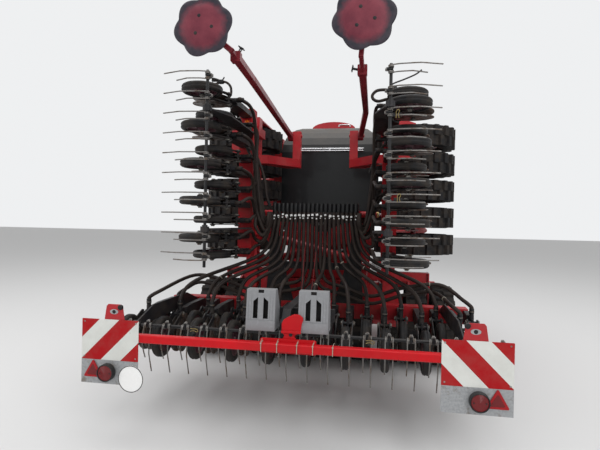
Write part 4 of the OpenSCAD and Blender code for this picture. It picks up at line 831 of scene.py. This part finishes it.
def make_chocks():
    """Wheel chocks: plastic wedges with two deep slots, a raised rib between them, fine grooves and a seam."""
    rib, slot, deep = 0.019, 0.052, 0.055
    half = [0.019, 0.0191, 0.0519, 0.052, 0.063, 0.064, 0.066, 0.067, 0.082, 0.083, 0.085, 0.086, 0.097, 0.100]
    columns = [-x for x in reversed(half)] + half
    shape = Shape()
    for middle in (-0.170, 0.190):
        rings = []
        # The corners deep in the slots and the top notch go into dark; the faces between them are painted dark steel as
        # painted shade in these recesses.
        dark = set()
        for x in columns:
            away = abs(x)
            top = 1.092 - 0.028 * min(max((away - rib) / (slot - rib), 0), 1)
            in_slot = 0.0191 <= away <= 0.0519
            groove = 0.002 if away in (0.064, 0.066, 0.083, 0.085) else 0.0
            rows = [(1.146, 0.003), (1.143, 0.0)]
            notch = 0.016 if away <= rib else 0.0
            rows += [(1.1425, notch), (1.122, notch), (1.1215, 0.0), (top + 0.001, -0.003 if away <= rib else groove)]
            rows += [(top, deep if in_slot else rows[-1][1]), (0.952, deep if in_slot else rows[-1][1])]
            rows += [(0.951, -0.003 if away <= rib else groove), (0.943, -0.003 if away <= rib else groove)]
            rows += [(0.9425, 0.002), (0.9405, 0.002), (0.940, 0.0), (0.900, 0.0), (0.869, 0.0), (0.866, 0.003)]
            ring = []
            for z, depth in rows:
                front = 0.082 + (0.900 - z) / 0.034 * 0.008 if z < 0.900 else 0.082 + (z - 0.900) / 0.246 * 0.024
                if depth > 0.010:
                    dark.add(len(shape.corners) + len(rings) * (len(rows) + 3) + len(ring))
                ring.append(Vector((middle + x, front + depth, z)))
            ring += [Vector((middle + x, 0.250, 0.866)), Vector((middle + x, 0.250, 1.010)),
                     Vector((middle + x, 0.170, 1.146))]
            if away == 0.100:
                centre = sum(ring, Vector()) / len(ring)
                ring = [p.lerp(Vector((p.x, centre.y, centre.z)), 0.02) for p in ring]
            rings.append(ring)
        first = len(shape.faces)
        shape.skin(rings, ORIGIN, 0, around=False)
        # Faces with two or more deep corners take paint 1, dark steel: painted shade in the slots.
        for index in range(first, len(shape.faces)):
            if len(shape.faces[index]) == 4 and sum(c in dark for c in shape.faces[index]) >= 2:
                shape.paints[index] = 1
    piece("chock_bodies", shape, "frame", ("chock_grey", "dark_steel"), ("wheel_chocks",), 24)


def make_bar_ties():
    """Pale cable ties that hold the lamp cable on the light bar, and the cable."""
    ties = Shape()
    y0, y1 = BAR_Y[0] - 0.0028, BAR_Y[1] + 0.0032
    z0, z1 = BAR_Z[0] - 0.0030, BAR_Z[1] + 0.0030
    for x in (-0.141, -0.034, 0.098, 0.202, 0.331):
        band = [(x, y, z) for y, z in ((y0, z0), (y1, z0), (y1, z1), (y0, z1))]
        path = []
        for a, b in zip(band, band[1:] + band[:1]):
            path += [Vector(a).lerp(Vector(b), t) for t in (0.04, 0.5, 0.96)]
        ties.tube(path, 0.0026, ORIGIN, 6, closed=True)
        ties.block((x - 0.005, -0.006, 0.803), (x + 0.005, 0.003, 0.811), ORIGIN, 0.001)
        ties.tube([(x, -0.003, 0.811), (x + 0.004, -0.006, 0.826), (x + 0.012, -0.010, 0.842)], 0.0016,
                  ORIGIN, 5)
    piece("bar_ties", ties, "frame", ("tie_pale",))
    cable = Shape()
    points = [(-1.18, 0.034, 0.560), (-1.12, 0.070, 0.640), (-1.02, 0.067, 0.740)]
    points += [(x, 0.0665, 0.775 + 0.003 * math.sin(23 * x)) for x in (-0.9, -0.6, -0.3, 0.0, 0.3, 0.6, 0.9)]
    points += [(1.02, 0.067, 0.740), (1.12, 0.070, 0.640), (1.18, 0.034, 0.560)]
    cable.tube(smooth(points, 4), 0.0048, ORIGIN, 7)
    piece("lamp_cable", cable, "frame", ("black_plastic",))


def make_hairpins():
    """Gold hairpins on the harrow tubes, each through a black bracket."""
    for body, turn, places in (("frame", Matrix(), ((-0.732, 0.792), (0.557, 0.783))),
                               ("wing_right", RAISED, ((2.618, 0.752), (2.038, 0.732)))):
        shape = Shape()
        for x, z in places:
            place = turn @ Matrix.Translation((x, REAR + 0.300, z))
            shape.tube([(-0.022, 0, 0.009), (0.022, 0, 0.009), (0.034, 0, 0.003), (0.037, 0, -0.006),
                        (0.031, 0, -0.013), (0.021, 0, -0.012), (0.008, 0, -0.004), (-0.009, 0, -0.007),
                        (-0.022, 0, -0.012)], 0.0026, place, 7)
            shape.block((-0.010, 0.002, -0.026), (0.010, 0.010, 0.034), place, 0.002, 1)
        piece("hairpins_" + body, shape, body, ("old_zinc", "dark_steel"))


def coupling(shape, start, end, radius, paint=1):
    """Crimped sleeve with a hexagon collar, from one place to another."""
    start, end = Vector(start), Vector(end)
    run = end - start
    turn = run.to_track_quat("X", "Z").to_matrix().to_4x4()
    place = Matrix.Translation(start) @ turn
    length = run.length
    shape.lathe([(0.0002, 0), (radius, 0), (radius, length * 0.6), (radius * 0.8, length * 0.64),
                 (radius * 0.8, length), (0.0002, length)], place, 12, paint)
    rings = [[(x, radius * 1.35 * math.cos(math.radians(60 * k)), radius * 1.35 * math.sin(math.radians(60 * k)))
              for k in range(6)] for x in (length * 0.66, length * 0.84)]
    shape.skin(rings, place, paint, around=False)


# Hydraulic and seed lines: piece, body, radius, and the points of each line
LINES = (
    ("wing_lines_left", "wing_left", 0.013, (
        ((-0.802, 1.30, 2.696), (-0.741, 1.40, 2.594), (-0.696, 1.47, 2.436), (-0.632, 1.48, 2.316),
         (-0.560, 1.45, 2.210), (-0.500, 1.45, 2.034), (-0.470, 1.45, 1.858), (-0.440, 1.47, 1.760)),
        ((-0.812, 1.33, 2.670), (-0.770, 1.41, 2.560), (-0.716, 1.46, 2.400), (-0.660, 1.45, 2.290),
         (-0.600, 1.42, 2.190), (-0.560, 1.42, 2.050), (-0.540, 1.43, 1.900)),
        ((-0.941, 1.00, 2.363), (-0.860, 1.16, 2.380), (-0.776, 1.30, 2.381), (-0.700, 1.40, 2.355),
         (-0.640, 1.43, 2.300)))),
    ("top_lines_left", "wing_left", 0.011, (
        ((-0.885, 1.00, 2.864), (-0.840, 1.00, 2.856), (-0.791, 1.00, 2.848), (-0.745, 1.00, 2.835),
         (-0.712, 1.00, 2.800), (-0.704, 1.00, 2.750), (-0.715, 1.00, 2.715), (-0.751, 1.01, 2.691)),
        ((-0.880, 1.02, 2.820), (-0.835, 1.01, 2.836), (-0.800, 1.00, 2.846)))),
    ("top_lines_right", "wing_right", 0.013, (
        ((0.700, 0.96, 2.712), (0.640, 1.00, 2.735), (0.572, 1.00, 2.728), (0.536, 1.00, 2.690), (0.548, 1.00, 2.655),
         (0.590, 1.00, 2.640), (0.660, 1.00, 2.655), (0.730, 0.99, 2.660)),
        ((0.712, 0.92, 2.690), (0.750, 0.93, 2.672), (0.820, 0.94, 2.690), (0.880, 0.95, 2.715)))),
    ("wing_lines_right", "wing_right", 0.013, (
        ((0.560, 1.47, 1.700), (0.622, 1.46, 1.834), (0.690, 1.44, 1.930), (0.760, 1.40, 2.060), (0.820, 1.30, 2.200)),
        ((0.545, 1.44, 1.760), (0.600, 1.42, 1.850), (0.660, 1.40, 1.890), (0.740, 1.36, 1.900)),
        ((0.520, 1.45, 2.080), (0.580, 1.44, 2.220), (0.640, 1.42, 2.330), (0.700, 1.36, 2.380)))),
)


def make_lines():
    for name, body, radius, routes in LINES:
        shape = Shape()
        for route in routes:
            places = [at(*p) for p in route]
            path = smooth(places, 6)
            shape.tube(path, radius, Matrix(), 10)
            coupling(shape, path[4], path[0], radius * 1.25)
            coupling(shape, path[-5], path[-1], radius * 1.25)
        piece(name, shape, body, ("hose_rubber", "dark_steel"))


def make_top_rods():
    """Bent rods and the clamp block on top of the right wing, and the tidy rods of the left wing."""
    right = Shape()
    right.tube(smooth([at(0.687, 0.92, 2.700), at(0.690, 0.92, 2.745), at(0.715, 0.92, 2.765), at(0.790, 0.92, 2.792),
                       at(0.880, 0.92, 2.830), at(0.930, 0.92, 2.866)], 6), 0.0065, Matrix(), 8)
    right.block((0.655, 0.90, 2.680), (0.760, 0.96, 2.716), ORIGIN, 0.006, 1)
    right.block((0.690, 0.90, 2.712), (0.735, 0.95, 2.740), ORIGIN, 0.006, 1)
    for x in (0.672, 0.742):
        right.bolt(moved(x, 0.900, 2.698) @ BACKWARDS, 0.016, 0.010)
    piece("top_rod_right", right, "wing_right", ("dark_steel", "black_plastic"))
    left = Shape()
    left.tube(smooth([at(-0.905, 0.98, 2.880), at(-0.850, 0.98, 2.868), at(-0.800, 0.99, 2.852)], 4), 0.007,
              Matrix(), 8)
    left.tube(smooth([at(-0.800, 0.99, 2.840), at(-0.775, 0.99, 2.868), at(-0.768, 0.99, 2.882)], 4), 0.006,
              Matrix(), 8)
    left.block((-0.822, 0.975, 2.828), (-0.775, 1.02, 2.860), ORIGIN, 0.005, 1)
    piece("top_rod_left", left, "wing_left", ("dark_steel", "black_plastic"))


def make_wing_hoses():
    """Seed hoses from the rack's ends over the fold to each wing's coulters; they are fixed in place and follow no
    body.
    """
    draw = random.Random(11)
    for section, start, rows, first, turn in SECTIONS[1:]:
        side = -1 if section == "left" else 1
        shape = Shape()
        for i in range(rows):
            rank = (i + first) % 2
            end = turn @ Vector((start + ROW_PITCH * (i + 0.5), REAR + COULTER_YS[rank] - 0.030,
                                 COULTER_TOP))
            lane = 0.036 * (i % 3)
            low = 1.42 + 0.055 * (i // 2)
            y = end.y - REAR
            route = [at(side * (0.425 + 0.012 * (i % 2)), 1.500 - 0.030 * (i % 4), 1.700),
                     at(side * (0.430 + 0.012 * (i % 2)), 1.490 - 0.034 * (i % 4), 1.600),
                     at(side * (0.480 + draw.uniform(0, 0.02)), 1.470 - lane, low),
                     at(side * (0.555 + 0.010 * (i % 2)), 1.440 - lane, (low + end.z) / 2 + draw.uniform(-0.05, 0.05)),
                     at(side * 0.560, (1.430 + y) / 2 + 0.04, end.z + (0.05 if end.z < 2 else -0.06)),
                     at(side * 0.590, y, end.z), end]
            path = smooth(route, 8)
            shape.tube(path, 0.0165, Matrix(), 10)
            shape.lathe([(0.0167, -0.060), (0.0205, -0.056), (0.0210, 0.0), (0.0167, 0.0)],
                        Matrix.Translation(end) @ Matrix.Rotation(math.pi if side < 0 else 0, 4, "Z"), 14, 1)
        bundle = piece("wing_hoses_" + section, shape, None, ("hose_rubber", "black_plastic"))
        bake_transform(bundle)


def make_rack_tags():
    """White square couplings along the hose rack."""
    tags = Shape()
    draw = random.Random(7)
    for k in range(RACK_HOSES):
        x = RACK_HALF * (2 * k / (RACK_HOSES - 1) - 1)
        tilt = Matrix.Rotation(math.radians(draw.uniform(-22, 22)), 4, "Y")
        for z, half in ((1.676, 0.0125), (1.647, 0.0075)):
            half *= draw.uniform(0.7, 1.1)
            place = moved(x + draw.uniform(-0.007, 0.007), 1.4920, z + draw.uniform(-0.008, 0.008)) @ tilt
            tags.block((-half, -0.004, -half * 0.8), (half, 0.003, half * 0.8), place, 0.0015)
    piece("rack_tags", tags, "frame", ("label_white",))


def make_hose_clips():
    """Pale clips round some of the seed hoses."""
    clips = Shape()
    draw = random.Random(5)
    for route, _, _ in hose_routes():
        path = smooth(route, 7)
        if draw.random() < 0.6:
            k = draw.randrange(len(path) // 2, len(path) - 6)
            run = path[k + 1] - path[k]
            place = Matrix.Translation(path[k]) @ run.to_track_quat("X", "Z").to_matrix().to_4x4()
            clips.lathe([(0.0168, -0.0035), (0.0194, -0.0035), (0.0198, 0.0), (0.0194, 0.0035), (0.0168, 0.0035)],
                        place, 16)
    piece("hose_clips", clips, "frame", ("tie_pale",))


def make_safety_cords():
    """Two thin red cords of the wheel chocks."""
    shape = Shape()
    for points in (((-0.043, 1.20, 1.383), (-0.036, 1.10, 1.250), (-0.026, 0.95, 1.060), (-0.013, 0.80, 0.985)),
                   ((0.058, 1.20, 1.341), (0.062, 1.08, 1.230), (0.070, 0.94, 1.120), (0.075, 0.80, 1.037))):
        shape.tube(smooth([at(*p) for p in points], 6), 0.0026, Matrix(), 6)
    piece("safety_cords", shape, "frame", ("cord_red",))


def make_lock_trim():
    """Gold gland and bright rod of each wing lock."""
    shape = Shape()
    for side in (-1, 1):
        turn = MIRRORED if side < 0 else Matrix()
        place = turn @ moved(0, 1.770, 1.700)
        shape.lathe([(0.0002, 0.596), (0.0305, 0.596), (0.0305, 0.606), (0.0255, 0.609), (0.0255, 0.6185),
                     (0.0002, 0.6185)], place, 24)
        shape.lathe([(0.0002, 0.618), (0.0136, 0.618), (0.0136, 0.6896), (0.0002, 0.6896)], place, 20, 1)
    piece("lock_trim", shape, "frame", ("zinc", "cylinder_chrome"))


def make_hopper_trim():
    """Bright double rail with three latches on the hopper, and the hand grip on its lid."""
    rail = Shape()
    for z in (2.514, 2.540):
        rail.tube(smooth([at(-0.412, 2.815, z), at(-0.405, 2.803, z), at(-0.25, 2.801, z), at(0.25, 2.801, z),
                          at(0.405, 2.803, z), at(0.412, 2.815, z)], 5), 0.0085, Matrix(), 10)
    for x in (-0.35, 0, 0.35):
        rail.block((x - 0.012, 2.798, 2.506), (x + 0.012, 2.812, 2.548), ORIGIN, 0.003)
    piece("hopper_rail", rail, "frame", ("rail_bright",))
    lid = Shape()
    lid.tube(smooth([at(0.070, 3.296, 2.925), at(0.075, 3.284, 2.935), at(0.110, 3.280, 2.938), at(0.180, 3.280, 2.938),
                     at(0.215, 3.284, 2.935), at(0.220, 3.296, 2.925)], 5), 0.006, Matrix(), 8)
    for x in (0.070, 0.220):
        lid.block((x - 0.010, 3.287, 2.912), (x + 0.010, 3.296, 2.936), ORIGIN, 0.003)
    piece("lid_grip", lid, "lid", ("rail_bright",))


def make_orange_reflector():
    shape = Shape()
    place = moved(-0.705, 1.5285, 2.600) @ BACKWARDS
    shape.lathe([(0.0002, 0.008), (0.020, 0.008), (0.024, 0.005), (0.024, 0.0), (0.0002, 0.0)], place, 24)
    piece("orange_reflector", shape, "wing_left", ("reflex_orange",))


# Stage
def make_stage():
    data = bpy.data.meshes.new("floor")
    half = 60
    data.from_pydata([(-half, -half, 0), (half, -half, 0), (half, half, 0), (-half, half, 0)], [], [(0, 1, 2, 3)])
    floor = bpy.data.objects.new("floor", data)
    bpy.context.scene.collection.objects.link(floor)
    p = Paint("floor", 0.9)
    p.colour((0.62, 0.62, 0.62))
    data.materials.append(p.material)

    world = bpy.data.worlds.new("studio")
    bpy.context.scene.world = world
    world.use_nodes = True
    nodes, links = world.node_tree.nodes, world.node_tree.links
    light = nodes["Background"]
    light.inputs["Color"].default_value = (1, 1, 1, 1)
    light.inputs["Strength"].default_value = 0.62
    seen = nodes.new("ShaderNodeBackground")
    seen.inputs["Color"].default_value = (0.86, 0.87, 0.88, 1)
    rays = nodes.new("ShaderNodeLightPath")
    either = nodes.new("ShaderNodeMath")
    either.operation = "MAXIMUM"
    links.new(rays.outputs["Is Camera Ray"], either.inputs[0])
    links.new(rays.outputs["Is Glossy Ray"], either.inputs[1])
    mix = nodes.new("ShaderNodeMixShader")
    links.new(either.outputs["Value"], mix.inputs[0])
    links.new(light.outputs["Background"], mix.inputs[1])
    links.new(seen.outputs["Background"], mix.inputs[2])
    links.new(mix.outputs["Shader"], nodes["World Output"].inputs["Surface"])


def make_lamp(name, place, target, size, power):
    data = bpy.data.lights.new(name, "AREA")
    data.size = size
    data.energy = power
    lamp = bpy.data.objects.new(name, data)
    lamp.location = place
    lamp.rotation_euler = (Vector(target) - Vector(place)).to_track_quat("-Z", "Y").to_euler()
    bpy.context.scene.collection.objects.link(lamp)


def make_lamps():
    middle = (0, -1.0, 1.2)
    make_lamp("sky", (0, -2, 11), middle, 12, 900)
    make_lamp("key", (5, -11, 6), middle, 6, 380)
    make_lamp("fill", (-8, -8, 4), middle, 6, 190)


make_camera()
materials = make_materials()
dress_frame(materials)
for make in (make_press_wheels, make_harrows, make_row_bolts, make_hoses, make_marker_discs, make_rear_signs,
             make_light_bar, make_chocks, make_bar_ties, make_hairpins, make_lines, make_top_rods,
             make_wing_hoses, make_rack_tags, make_hose_clips, make_safety_cords, make_lock_trim,
             make_hopper_trim, make_orange_reflector, make_marker_arms):
    make()
make_stage()
make_lamps()

bpy.context.scene.view_settings.view_transform = "Standard"
